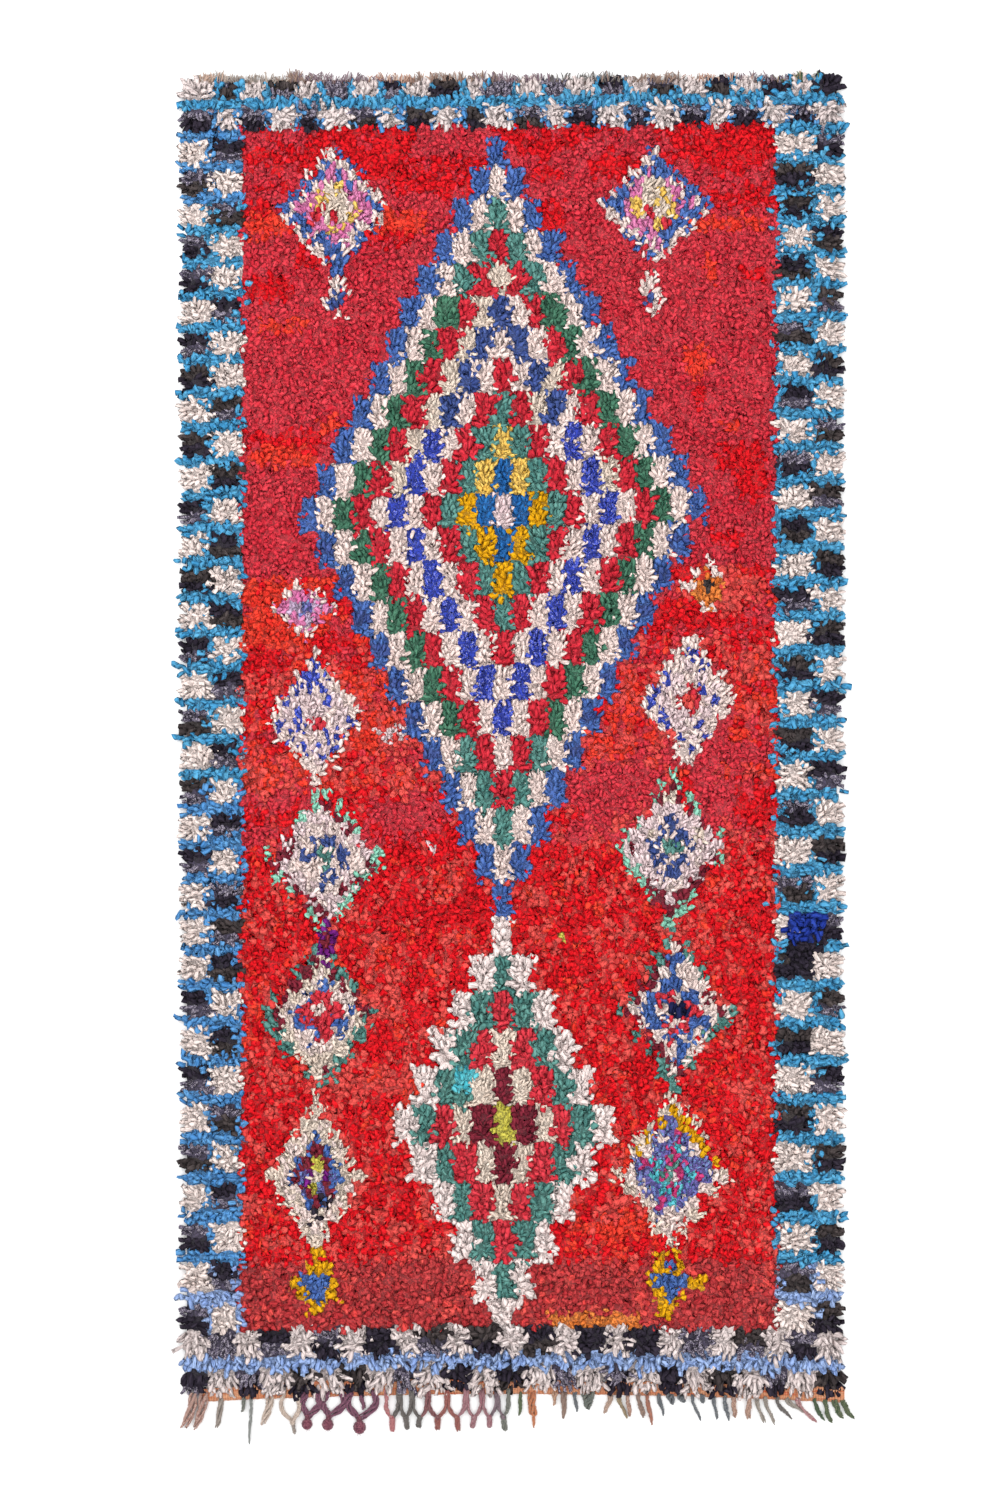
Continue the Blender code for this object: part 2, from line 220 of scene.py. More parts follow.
# Middle cell, knots a step, rings from the middle out, lean of the axis to the left at the top, in
# knots
LOZENGES = ((13, 3.0, BIG_RINGS, 1.0), (30, 3.41, LOW_RINGS, 0.0))
LEAN_CELLS = 11
CELL_WOBBLE = 0.3

cell = (row + CELL_ROWS - 1) // CELL_ROWS
cell_row = (row + CELL_ROWS - 1) % CELL_ROWS
for middle, step, rings, lean in LOZENGES:
    wobble = CELL_WOBBLE * (drift(2.7, 1.0, 12) - 0.5)
    across = (column + lean * np.clip((middle - cell) / LEAN_CELLS, 0, 1)) / step
    count = np.rint(across + wobble).astype(int)
    ring = np.abs(count) + np.abs(cell - middle)
    fan = ((across - count) * 2, 1.0 - cell_row)
    here = (count + 200 * middle, cell)
    # Cells where the weaver ran short of a ring's rag: the ring's rag, the one in its stead, where
    swaps = (
        ("royal", "denim", cell < 11),
        ("green", "teal", (cell < 7) | (cell > 19)),
        ("straw", "gold", cell > 12),
        ("white", "oatmeal", (ring < 9) & (cell < 13) & ((count + cell) % 3 == 0)),
        ("white", "blush", (ring == 10) & ((7 * count + 5 * cell) % 6 == 0)),
        ("crimson", "poppy", ((5 * count + 3 * cell) % 4 == 0) & (cell_row != 0)),
        ("rose", "turquoise", (cell == 29) & (count < 0)),
        ("rose", "teal", (cell == 29) & (count < 0) & (cell_row == 2)),
        ("outline_blue", "denim", (row > 38) & (row < 60) & (cell_row == 1)),
    )
    for number, name in enumerate(rings):
        of_ring = (ring == number) & in_field_rows
        lay(of_ring, name, fan, here)
        for usual, other, swapped in swaps:
            if name == usual:
                lay(of_ring & swapped, other, fan, here)

# The small lozenges: middle column and row, half width in knots, half height in rows, and the
# rags from the outside in. A pair of rags takes turns in the outer two rings and is mixed knot by
# knot further in, and a dash leaves the field's rag
SMALL_LOZENGES = (
    (-28.5, 10.2, 9.8, 6.2, (
        "white outline_blue", "outline_blue white", "pink outline_blue", "pink rose", "straw pink",
        "white crimson", "maroon blush")),
    (25.9, 10.3, 9.6, 5.7, (
        "white outline_blue", "outline_blue white", "pink outline_blue", "pink rose", "straw pink",
        "white crimson", "maroon straw")),
    (-28.5, 15.6, 1.2, 1.3, ("outline_blue", "outline_blue")),
    (-28.3, 16.9, 0.9, 0.6, ("white", "white")),
    (25.4, 16.9, 0.9, 0.6, ("white", "white")),
    (-28.1, 18.8, 2.2, 2.3, ("white -", "denim")),
    (25.2, 18.7, 2.1, 2.2, ("white -", "denim white")),
    (-34, 46, 5.2, 2.7, ("white -", "pink -", "pink lilac", "lilac pink", "violet")),
    (34.8, 45.3, 4.2, 2.5, ("white -", "orange -", "orange", "orange", "char")),
    (-32, 55.4, 8.4, 5.7, (
        "white", "royal white", "blush", "blush royal", "white blush", "blush rose", "rose blush")),
    (31.6, 54.8, 8.2, 5.8, (
        "white", "royal white", "blush white", "blush royal", "white blush", "rose blush", "coral rose")),
    (-30.6, 67.6, 10.6, 6.4, (
        "mint -", "blush maroon", "blush white", "white blush", "denim white", "white denim",
        "teal white")),
    (28.8, 67.2, 10.0, 6.5, (
        "mint -", "blush maroon", "blush oatmeal", "blush white", "denim", "white denim",
        "teal white")),
    (-31.2, 80.4, 10.4, 6.2, (
        "teal -", "oatmeal maroon", "oatmeal white", "white outline_blue", "outline_blue rose",
        "rose white", "white navy")),
    (29.4, 80, 10.2, 6.3, (
        "teal -", "white maroon", "white outline_blue", "outline_blue white", "rose outline_blue",
        "white rose", "navy white")),
    (-30.0, 74.4, 1.8, 1.8, ("purple", "maroon")),
    (-31.9, 93, 8.2, 6.1, (
        "oatmeal", "white oatmeal", "oatmeal white", "outline_blue black", "maroon violet",
        "lime purple", "oatmeal lime")),
    (28.7, 92.6, 10.4, 6.0, (
        "oatmeal -", "white gold", "violet white", "violet magenta", "turquoise violet",
        "magenta violet", "teal blush")),
    (-31.9, 101.3, 4.9, 2.7, ("gold -", "gold", "outline_blue", "outline_blue")),
    (28.3, 100.9, 6.0, 2.6, ("gold -", "gold", "outline_blue", "outline_blue")),
)
# In a mixed ring this share of the knots has the pair's first rag
FIRST_OF_PAIR = 0.66
mixed = np.mod(7.3 * stray, 1.0)
for middle_column, middle_row, half_width, half_height, rings in SMALL_LOZENGES:
    u = (column - middle_column) / half_width
    v = (middle_row - row) / half_height
    depth = (1 - np.abs(u) - np.abs(v)) * len(rings) + RAGGED * stray * (len(rings) > 3)
    for number, names in enumerate(rings):
        name, *second = names.split()
        chosen = (depth > number) & (depth <= number + 1)
        if second:
            in_turns = number < 2 and second != ["-"]
            turns = (row + column // 2 + number) % 2 == 0
            pick = turns if in_turns else mixed < FIRST_OF_PAIR
            if second != ["-"]:
                lay(chosen & ~pick, second[0], (u, v))
            chosen = chosen & pick
        lay(chosen, name, (u, v))
# The heart of the first two is a few pale lengths that stand on end
HEART_COLUMNS, HEART_ROW = (-28.5, 26.2), 9.6
for middle_column in HEART_COLUMNS:
    heart = (np.abs(column - middle_column) < 2.2) & (np.abs(row - HEART_ROW) < 1.8) & (stray > -0.1)
    lay(heart, "oatmeal", (np.sign(stray), 2 * stray))

EDGE_CHECKS = (
    (-2, -1, 0, 24, "sky"),
    (1, 2, 1, 24, "cornflower"),
    (105, 106, 0, 25, None),
    (108, 109, 1, 25, None),
)
UPRIGHT_SHARE = 0.8
DARK_RAGS = ("black", "char", "marl")


def lay_dark(where, pick, limits, fan, cell):
    """Knots dark checks in one of three rags: below the first limit, below the second, above."""
    for name, low, high in zip(DARK_RAGS, (0, *limits), (*limits, 1)):
        lay(where & (pick >= low) & (pick < high), name, fan, cell)


across = (column - FIRST_COLUMN + 0.5) / (LAST_COLUMN - FIRST_COLUMN + 1)
# A random number for each dark check: by row or band, and by its place across
dark_pick = random.random((200, 60))
for first, last, parity, checks, upright in EDGE_CHECKS:
    band = (row >= first) & (row <= last)
    number = np.floor(across * checks).astype(int)
    fan = ((across * checks - number) * 1.2 - 0.6, np.where(row == first, 0.3, -0.3))
    here = (number + 7000, np.full(knots, first))
    pale = (number + parity) % 2 == 0
    lay(band & pale, "chalk", fan, here)
    pick = dark_pick[row - FIRST_ROW, number]
    if first == 1:
        # The head's inner checks are marl over black
        pick = np.where(row == 1, 0.55, 0.0) + 0.45 * pick
    lay_dark(band & ~pale, pick, (0.4, 0.65), fan, here)
    if upright:
        starts = band & (np.roll(number, 1) != number) & (column > FIRST_COLUMN)
        lay(starts & (random.random(knots) < UPRIGHT_SHARE), upright, fan)
for first, name in ((0, "sky"), (107, "periwinkle")):
    lay(row == first, name, (np.zeros(knots), random.uniform(-1, 1, knots)))

# The checks down both sides: one blue row, then two rows of checks two across, pale and dark by
# turns but for a few repeats. Each side: columns of the outer check, of the upright beside it, of
# the inner check, of the upright at the field, and the bands after which a turn repeats
SIDES = (
    ((-54, -51), -50, (-49, -46), -45, (5, 8, 24, 25)),
    ((54, 57), 53, (48, 52), 47, (3,)),
)
MIDDLE_UPRIGHT_SHARE, EDGE_UPRIGHT_SHARE = 0.75, 0.45
band = (row + 2) // CELL_ROWS - 1
blue_row = row % CELL_ROWS == 0
upper_row = row % CELL_ROWS == 1
# The blue is sky, but another lot on the left by the head and in the lower half, and the tail's
# pale blue in the last bands
blue = np.full(knots, rag_number("sky"))
blue[(column < 0) & ((band < 3) | (band > 19))] = rag_number("cornflower")
blue[band > 32] = rag_number("periwinkle")
for outer, upright, inner, edge, repeats in SIDES:
    side = (column >= min(outer[0], edge)) & (column <= max(outer[1], edge))
    turn = band + sum((band >= repeat).astype(int) for repeat in repeats) + int(edge > 0)
    for order, (block, beside) in enumerate(((outer, upright), (inner, edge))):
        low, high = min(*block, beside), max(*block, beside)
        block_knots = (column >= low) & (column <= high) & in_field_rows & ~blue_row
        fan = ((column - (low + high) / 2) / 2.6, np.where(upper_row, 0.3, -0.3))
        here = (np.full(knots, 8000 + low), band)
        pale = (turn + order) % 2 == 1
        lay(block_knots & pale, "pearl", fan, here)
        pick = dark_pick[band, 30 + (column > 0) * 10 + order]
        pick = np.mod(pick + 0.45 * upper_row, 1.0)
        lay_dark(block_knots & ~pale, pick, (0.36, 0.66), fan, here)
    chance = random.random(knots)
    uprights = in_field_rows & ~blue_row & (
        ((column == upright) & (chance < MIDDLE_UPRIGHT_SHARE))
        | ((column == edge) & (chance < EDGE_UPRIGHT_SHARE)))
    blue_knots = (side & in_field_rows & blue_row) | uprights
    rag[blue_knots] = blue[blue_knots]
    tuft[blue_knots] = 1.0
    fan_x[blue_knots] = 0.0
    fan_y[blue_knots] = random.uniform(-0.5, 0.5, knots)[blue_knots]
    fan_x[blue_knots & blue_row] = random.uniform(-1.3, 1.3, knots)[blue_knots & blue_row]
    cell_x[blue_knots] = column[blue_knots] // 2
# Two long locks hang over the right border, a bright one and a black one below it
LOCKS = ((73, "cobalt"), (75, "black"))
LOCK_COLUMN, LOCK_REACH = 51, 4
for first, name in LOCKS:
    in_reach = np.abs(column - LOCK_COLUMN) + 4 * np.abs(stray) < LOCK_REACH
    lock = ((row == first) | (row == first + 1)) & in_reach
    lay(lock, name, (np.full(knots, -0.4), np.full(knots, -0.3)))

# The weave itself. Knot columns stand at an even pitch from a middle warp, and the rows' spacing
# and slant are as uneven as the beating left them
WARP_AXIS = -0.0197
KNOT_PITCH = 0.01103
BAND_ROW_Y = 1.2333
HEAD_ROW_STEP = 0.0165
ROW_STEP = 0.01918
ROW_GROWTH = 0.00002715
TAIL_ROW_SAVING = 0.0022
TAIL_BOW = 0.0175
BOW_ROW, BOW_ROWS = 84, 25
HALF_WIDTH = round(cad_box[1][0], 4)
WEAVE_LOW = 0.0004
WEAVE_THICK = 0.0024
WEAVE_RIB = 0.0005
# The weave's upper side is painted darker by this share: painted shade of the pile over it
UPPER_SHADE = 0.35
# How far the wefts climb from the rug's middle to its right edge: place along Y, climb
WEFT_CLIMB = (
    (-0.46, 0.0), (-0.27, 0.0085), (-0.04, 0.018), (0.22, 0.019), (0.62, 0.015), (1.23, 0.0066))
CLOTH_ROUGHNESS = 0.95


def row_place(row):
    """Distance of a knot row from the rug's middle along Y. Past the head's two tight rows the
    spacing starts at ROW_STEP and grows by twice ROW_GROWTH a row, as the beating slackens, and
    the last rows are packed a little again."""
    down = np.where(row < 0, HEAD_ROW_STEP * row, ROW_STEP * row + ROW_GROWTH * row * row)
    return BAND_ROW_Y - down + TAIL_ROW_SAVING * np.maximum(row - TAIL_ROWS, 0)


def knot_place(column, row):
    """Root of a knot on the weave: columns at an even pitch, rows tilted by the weft's climb in
    proportion to the distance across, and bowed like a parabola near the tail."""
    x = WARP_AXIS + KNOT_PITCH * column
    y = row_place(row)
    climb = np.interp(y, *zip(*WEFT_CLIMB))
    bow = TAIL_BOW * (x / HALF_WIDTH) ** 2 * np.clip((row - BOW_ROW) / BOW_ROWS, 0, 1)
    return x, y + climb * x / HALF_WIDTH - bow


def paint(red, green, blue):
    """Linear colour from the 0 to 255 values that a screen shows, by the usual gamma of 2.4."""
    shown = np.array([red, green, blue]) / 255
    linear = np.where(shown <= 0.04045, shown / 12.92, ((shown + 0.055) / 1.055) ** 2.4)
    return (*linear.tolist(), 1.0)


def mesh_object(name, points, face_groups, smooth=True):
    """Makes a mesh object from arrays: points are (n, 3), each group of faces (m, its sides)."""
    mesh = bpy.data.meshes.new(name)
    corners = np.concatenate([faces.ravel() for faces in face_groups])
    sides = np.concatenate([np.full(len(faces), faces.shape[1]) for faces in face_groups])
    mesh.vertices.add(len(points))
    mesh.vertices.foreach_set("co", np.ascontiguousarray(points, np.float32).ravel())
    mesh.loops.add(len(corners))
    mesh.loops.foreach_set("vertex_index", corners.astype(np.int32))
    mesh.polygons.add(len(sides))
    mesh.polygons.foreach_set("loop_start", (np.cumsum(sides) - sides).astype(np.int32))
    mesh.polygons.foreach_set("loop_total", sides.astype(np.int32))
    mesh.polygons.foreach_set("use_smooth", np.full(len(sides), smooth))
    mesh.update()
    mesh.validate()
    made = bpy.data.objects.new(name, mesh)
    bpy.context.scene.collection.objects.link(made)
    return made


def add_values(made, name, values, kind="FLOAT", domain="POINT"):
    """Gives each point of a mesh, or each corner of its faces, its own number or colour."""
    attribute = made.data.attributes.new(name, kind, domain)
    key = "color" if kind == "FLOAT_COLOR" else "value"
    attribute.data.foreach_set(key, np.ascontiguousarray(values, np.float32).ravel())


class Thread:
    """A value in a material's nodes. Arithmetic on threads adds Math nodes."""

    def __init__(self, tree, socket=None):
        self.tree = tree
        self.socket = socket

    def node(self, kind, settings=(), inputs=(), output=0):
        """Adds a node: its settings first, then the values or links of its sockets."""
        made = self.tree.nodes.new(kind)
        for name, value in dict(settings).items():
            setattr(made, name, value)
        for name, value in dict(inputs).items():
            if isinstance(value, Thread):
                self.tree.links.new(value.socket, made.inputs[name])
            else:
                made.inputs[name].default_value = value
        return Thread(self.tree, made.outputs[output])

    def maths(self, operation, first, second):
        return self.node("ShaderNodeMath", {"operation": operation}, {0: first, 1: second})

    def __add__(self, other):
        return self.maths("ADD", self, other)

    def __mul__(self, other):
        return self.maths("MULTIPLY", self, other)

    def __sub__(self, other):
        return self.maths("SUBTRACT", self, other)

    def __rsub__(self, other):
        return self.maths("SUBTRACT", other, self)

    __radd__ = __add__
    __rmul__ = __mul__

    def sine(self):
        return self.maths("SINE", self, 0.0)

    def rise(self, low, high):
        """0 below low, 1 above high, smooth between."""
        return self.node(
            "ShaderNodeMapRange", {"interpolation_type": "SMOOTHSTEP"},
            {"Value": self, "From Min": low, "From Max": high})

    def between(self, first, second):
        """Colour from first, where this is 0, to second, where it is 1."""
        return self.node("ShaderNodeMix", {"data_type": "RGBA"}, {0: self, 6: first, 7: second}, 2)

    def darkened(self, share, mask):
        """This colour, a share of it multiplied by a mask that is 0 in the creases. Where the mask marks
        creases or hollows, the darkening is painted shade.
        """
        return self.node(
            "ShaderNodeMix", {"data_type": "RGBA", "blend_type": "MULTIPLY"},
            {0: share, 6: self, 7: mask}, 2)

    def place(self):
        """Position on the piece's own coordinates."""
        return self.node("ShaderNodeTexCoord", output=3)

    def mesh_value(self, name, output=0):
        """A colour, or with output 2 a number, that add_values gave the mesh."""
        return self.node("ShaderNodeAttribute", {"attribute_name": name}, output=output)

    def noise(self, scale, detail=2.0, rough=0.5):
        """Smooth noise, read at the place that this vector gives."""
        return self.node(
            "ShaderNodeTexNoise", (),
            {"Vector": self, "Scale": scale, "Detail": detail, "Roughness": rough})


def cloth_material(name, sheen):
    """A dry cloth finish. Returns the material, its shader, and a thread to build its colour."""
    material = bpy.data.materials.new(name)
    material.use_nodes = True
    shader = material.node_tree.nodes["Principled BSDF"]
    shader.inputs["Roughness"].default_value = CLOTH_ROUGHNESS
    shader.inputs["Specular IOR Level"].default_value = 0.1
    shader.inputs["Sheen Weight"].default_value = sheen
    shader.inputs["Sheen Roughness"].default_value = 0.6
    return material, shader, Thread(material.node_tree)


def finish_cloth(shader, colour, height, distance, strength):
    """Wires a colour and a bump height into a cloth's shader."""
    tree = colour.tree
    tree.links.new(colour.socket, shader.inputs["Base Color"])
    bump = colour.node(
        "ShaderNodeBump", (), {"Height": height, "Distance": distance, "Strength": strength})
    tree.links.new(bump.socket, shader.inputs["Normal"])


def closed_sheet(top, bottom):
    """Points and faces of a closed sheet from two grids of points: the upper grid, the lower one
    turned over, and a wall round the rim."""
    rows, columns = top.shape[:2]
    number = np.arange(rows * columns).reshape(rows, columns)
    upper = np.stack(
        [number[:-1, :-1], number[:-1, 1:], number[1:, 1:], number[1:, :-1]], axis=2).reshape(-1, 4)
    lower = upper[:, ::-1] + rows * columns
    rim = np.concatenate([number[0, :-1], number[:-1, -1], number[-1, :0:-1], number[:0:-1, 0]])
    following = np.roll(rim, -1)
    wall = np.stack([following, rim, rim + rows * columns, following + rows * columns], axis=1)
    points = np.concatenate([top.reshape(-1, 3), bottom.reshape(-1, 3)])
    return points, np.concatenate([upper, lower, wall])


shades = np.array([
    (np.array(paint(*dark)) + np.array(paint(*light))) / 2 for dark, light, _, _ in RAGS.values()])
ground_rows = np.arange(FIRST_ROW * 2, LAST_ROW * 2 + 1) / 2
ground_columns = np.append(np.arange(FIRST_COLUMN, LAST_COLUMN, 2), LAST_COLUMN)
grid_column, grid_row = np.meshgrid(ground_columns.astype(float), ground_rows)
ground_x, ground_y = knot_place(grid_column, grid_row)
rib = WEAVE_RIB * np.cos(grid_row * 2 * np.pi)
low = np.stack([ground_x, ground_y, WEAVE_LOW + WEAVE_RIB - rib], axis=2)
high = np.stack([ground_x, ground_y, WEAVE_LOW + WEAVE_THICK + rib], axis=2)
points, faces = closed_sheet(high[::-1], low[::-1])
weave = mesh_object("ground_weave", points, [faces])
# Its back: a bar of the knot's colour on each row, and bare warp between the rows
knot_rag = rag.reshape(LAST_ROW - FIRST_ROW + 1, LAST_COLUMN - FIRST_COLUMN + 1)
nearest = np.rint(ground_rows - FIRST_ROW).astype(int)
back = shades[knot_rag[nearest][:, ground_columns - FIRST_COLUMN]][::-1]
warp = np.array(paint(120, 96, 78))
is_weft = (np.abs(ground_rows - np.rint(ground_rows)) > 0.4)[::-1]
back = np.where(is_weft[:, None, None], warp, back).reshape(-1, 4)
# The upper side gets the back's colours darkened: painted shade under the pile, stored in the dye
# attribute alongside the back's own colours
upper_side = back * [UPPER_SHADE, UPPER_SHADE, UPPER_SHADE, 1.0]
add_values(weave, "dye", np.concatenate([upper_side, back]), "FLOAT_COLOR")
material, shader, thread = cloth_material("wool ground weave", sheen=0.1)
place = thread.place()
patch = place.noise(260.0, 3.0).rise(0.35, 0.7)
colour = thread.mesh_value("dye").darkened(0.55, patch)
finish_cloth(shader, colour, place.noise(700.0, 2.0), distance=0.0006, strength=0.8)
weave.data.materials.append(material)
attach(weave, "root")
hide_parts("knotted_pile")


# Packed pile
# Low down, the rags of neighbouring knots press together into one lumpy mass. It is a single
# closed form in each knot's colour, painted a little darker and darker still in its creases as
# painted shade, sloping off at the rim, and the rags' ends come out of it.

BED_HEIGHT = 0.0180
BED_RIM = 0.0045
BED_SLOPE = 3.0
BED_LUMP = 0.0028
BED_FOOT = 0.0022
BED_WANDER = 0.34
# Share of the rags' mean colour that the packed rags keep: painted shade under the ends above them
BED_SHADE = 0.92


def bed_height(column, row):
    """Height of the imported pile: a quarter sine from the rim's height up to the full one."""
    from_rim = np.minimum(
        np.minimum(column - FIRST_COLUMN, LAST_COLUMN - column),
        np.minimum(row - FIRST_ROW, LAST_ROW - row))
    climb = np.clip(from_rim / BED_SLOPE, 0, 1)
    return BED_RIM + (BED_HEIGHT - BED_RIM) * np.sin(climb * np.pi / 2)


# The grid runs between the knots, so that each face has one knot's colour
between_column, between_row = np.meshgrid(
    np.concatenate([[FIRST_COLUMN], np.arange(FIRST_COLUMN, LAST_COLUMN) + 0.5, [LAST_COLUMN]]),
    np.concatenate([[FIRST_ROW], np.arange(FIRST_ROW, LAST_ROW) + 0.5, [LAST_ROW]]))
bed_z = bed_height(between_column, between_row)
inner = bed_z > BED_RIM
bed_x, bed_y = knot_place(
    between_column + BED_WANDER * random.uniform(-1, 1, bed_z.shape) * inner,
    between_row + BED_WANDER * random.uniform(-1, 1, bed_z.shape) * inner)
bed_z = bed_z + BED_LUMP * (random.random(bed_z.shape) - 0.5)
number = np.arange(bed_z.size).reshape(bed_z.shape)
upper = np.stack(
    [number[:-1, :-1], number[1:, :-1], number[1:, 1:], number[:-1, 1:]], axis=2).reshape(-1, 4)
rim = np.concatenate([number[0, :-1], number[:-1, -1], number[-1, :0:-1], number[:0:-1, 0]])
foot = bed_z.size + np.arange(len(rim))
wall = np.stack([np.roll(rim, -1), np.roll(foot, -1), foot, rim], axis=1)[:, ::-1]
top_points = np.stack([bed_x, bed_y, bed_z], axis=2).reshape(-1, 3)
foot_points = top_points[rim] * [1, 1, 0] + [0, 0, BED_FOOT]
bed = mesh_object(
    "packed_pile", np.concatenate([top_points, foot_points]), [upper, wall, foot[None]])
# Each knot's colour, darkened by BED_SHADE as painted shade
shaded_knot_dye = np.repeat(shades[rag] * [BED_SHADE, BED_SHADE, BED_SHADE, 1.0], 4, axis=0)
rim_dye = np.full((len(rim) * 5, 4), paint(96, 60, 60))
add_values(bed, "dye", np.concatenate([shaded_knot_dye, rim_dye]), "FLOAT_COLOR", "CORNER")
material, shader, thread = cloth_material("packed rags", sheen=0.1)
# Creases: a bump, plus painted shade that darkens the colour in them
crease = thread.place().noise(250.0, 3.0, 0.6).rise(0.36, 0.56)
colour = thread.mesh_value("dye").darkened(0.38, crease)
finish_cloth(shader, colour, crease, distance=0.0025, strength=1.0)
bed.data.materials.append(material)
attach(bed, "root")
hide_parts("knotted_pile")


# Pile
# Each knot's rag is looped round two warps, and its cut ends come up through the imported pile, bent
# over and creased, three to a knot. In a cell of the pattern they are narrow and spread out like a
# tulip. In the field they are wide and lie every way.

PILE_SINK = 0.003
PILE_LOWEST = 0.0008
# Places of a knot's ends: share of a column's pitch, share of a row's
NARROW_ROOTS = ((-0.32, 0.22), (0.04, -0.26), (0.33, 0.08))
WIDE_ROOTS = ((-0.28, 0.30), (0.24, -0.02), (-0.06, -0.34))
# An end has four rings: how far along it each is, and its share of the width, fold and slant
RING_PLACES = np.array([0.0, 0.38, 0.72, 1.0])
NARROW_TAPER = np.array([0.85, 1.0, 1.0, 0.84])
WIDE_TAPER = np.array([0.8, 1.0, 0.96, 0.66])
FOLD_SHARES = np.array([1.0, 1.0, 0.9, 0.55])
SLANT_SHARES = np.array([0, 0, 0.3, 1.0])
# Outline of an end's section, left to right: share of its half width, share of its fold's height
SECTION = ((1.0, 0.0), (0.0, 1.0), (-1.0, 0.0))
# Scales of width and length
NARROW_SCALE = (1.25, 1.25)
WIDE_SCALE = (1.25, 0.95)
TAIL_ROWS_LONGER = 0.25
# Lean from the upright of the three stretches between the rings: least, more as the tuft spreads
LEANS = ((0.60, 0.30), (1.00, 0.25), (1.25, 0.20))
LEAN_STRAY = 0.13
RIM_DROOP = 0.15
FURTHEST_LEAN = 1.75
# What turns an end: its place in the cell, the tuft's own quirk, the rim at the sides, the rim at
# head and tail
FAN_PULL, QUIRK_PULL, SIDE_PULL, END_PULL = 0.45, 0.35, 0.6, 0.8
# How far single ends stray from that: in a tuft, in the field, and the border's share along Y
TUFT_LOOSE, FIELD_LOOSE, BORDER_SHARE = 0.32, 0.9, 0.5
# A tuft's roots are gathered towards its middle by a share of the length
GATHER = 0.45
# Crumpling: how far the corners of an end stray, in a tuft and in the field
TUFT_CRUMPLE, FIELD_CRUMPLE = 0.0005, 0.0009
# The rim, where ends hang outwards. Along the sides and the head: its axis, half its width, its
# line at the head and the depth over which it starts. At the tail: its first row, the rows over
# which it starts, and the row past which ends droop
RIM_AXIS, SIDE_RIM, HEAD_RIM, RIM_DEPTH = -0.003, 0.585, 1.235, 0.03
TAIL_RIM_ROW, TAIL_RIM_ROWS, DROOPING_ROW = 104, 4, 107
# The tufts lean to the head in the field and hardly in the borders, to the tail in the head's
# inner checks, and from a row on they turn to the tail by so much a row
FIELD_LIFT, BORDER_LIFT, HEAD_CHECK_LIFT = 0.6, 0.1, -0.35
TURNING_ROW, TURN_A_ROW = 96, 0.035
QUIRKS = 512

root_x, root_y = knot_place(column, row)
root_z = bed_height(column, row) - PILE_SINK
row_gap = row_place(row - 0.5) - row_place(row + 0.5)
edge_pull = np.clip((np.abs(root_x - RIM_AXIS) - SIDE_RIM) / RIM_DEPTH, 0, 1) * np.sign(root_x)
head_pull = np.clip((row_place(row) - HEAD_RIM) / RIM_DEPTH, 0, 1)
tail_pull = np.clip((row - TAIL_RIM_ROW) / TAIL_RIM_ROWS, 0, 1)
left_edge, right_edge = (edge for _, _, _, edge, _ in SIDES)
in_border = (column <= left_edge) | (column >= right_edge)
lift = np.where(in_border, BORDER_LIFT, FIELD_LIFT)
lift = np.where((row > 0) & (row <= HEAD_ROWS), HEAD_CHECK_LIFT, lift)
lift = np.where(tuft == 0, BORDER_LIFT, lift)
lift = np.where(row > TURNING_ROW, lift - TURN_A_ROW * (row - TURNING_ROW), lift)
# The knots of one cell share a quirk: across, along, spread and height
quirks = random.random((QUIRKS, 4))[(cell_x * 37 + cell_y * 101) % QUIRKS].T


def directions(lean, way):
    """Unit vectors from their lean off the upright and their way on the floor, as in spherical
    coordinates."""
    return np.stack(
        [np.sin(lean) * np.cos(way), np.sin(lean) * np.sin(way), np.cos(lean)], axis=-1)


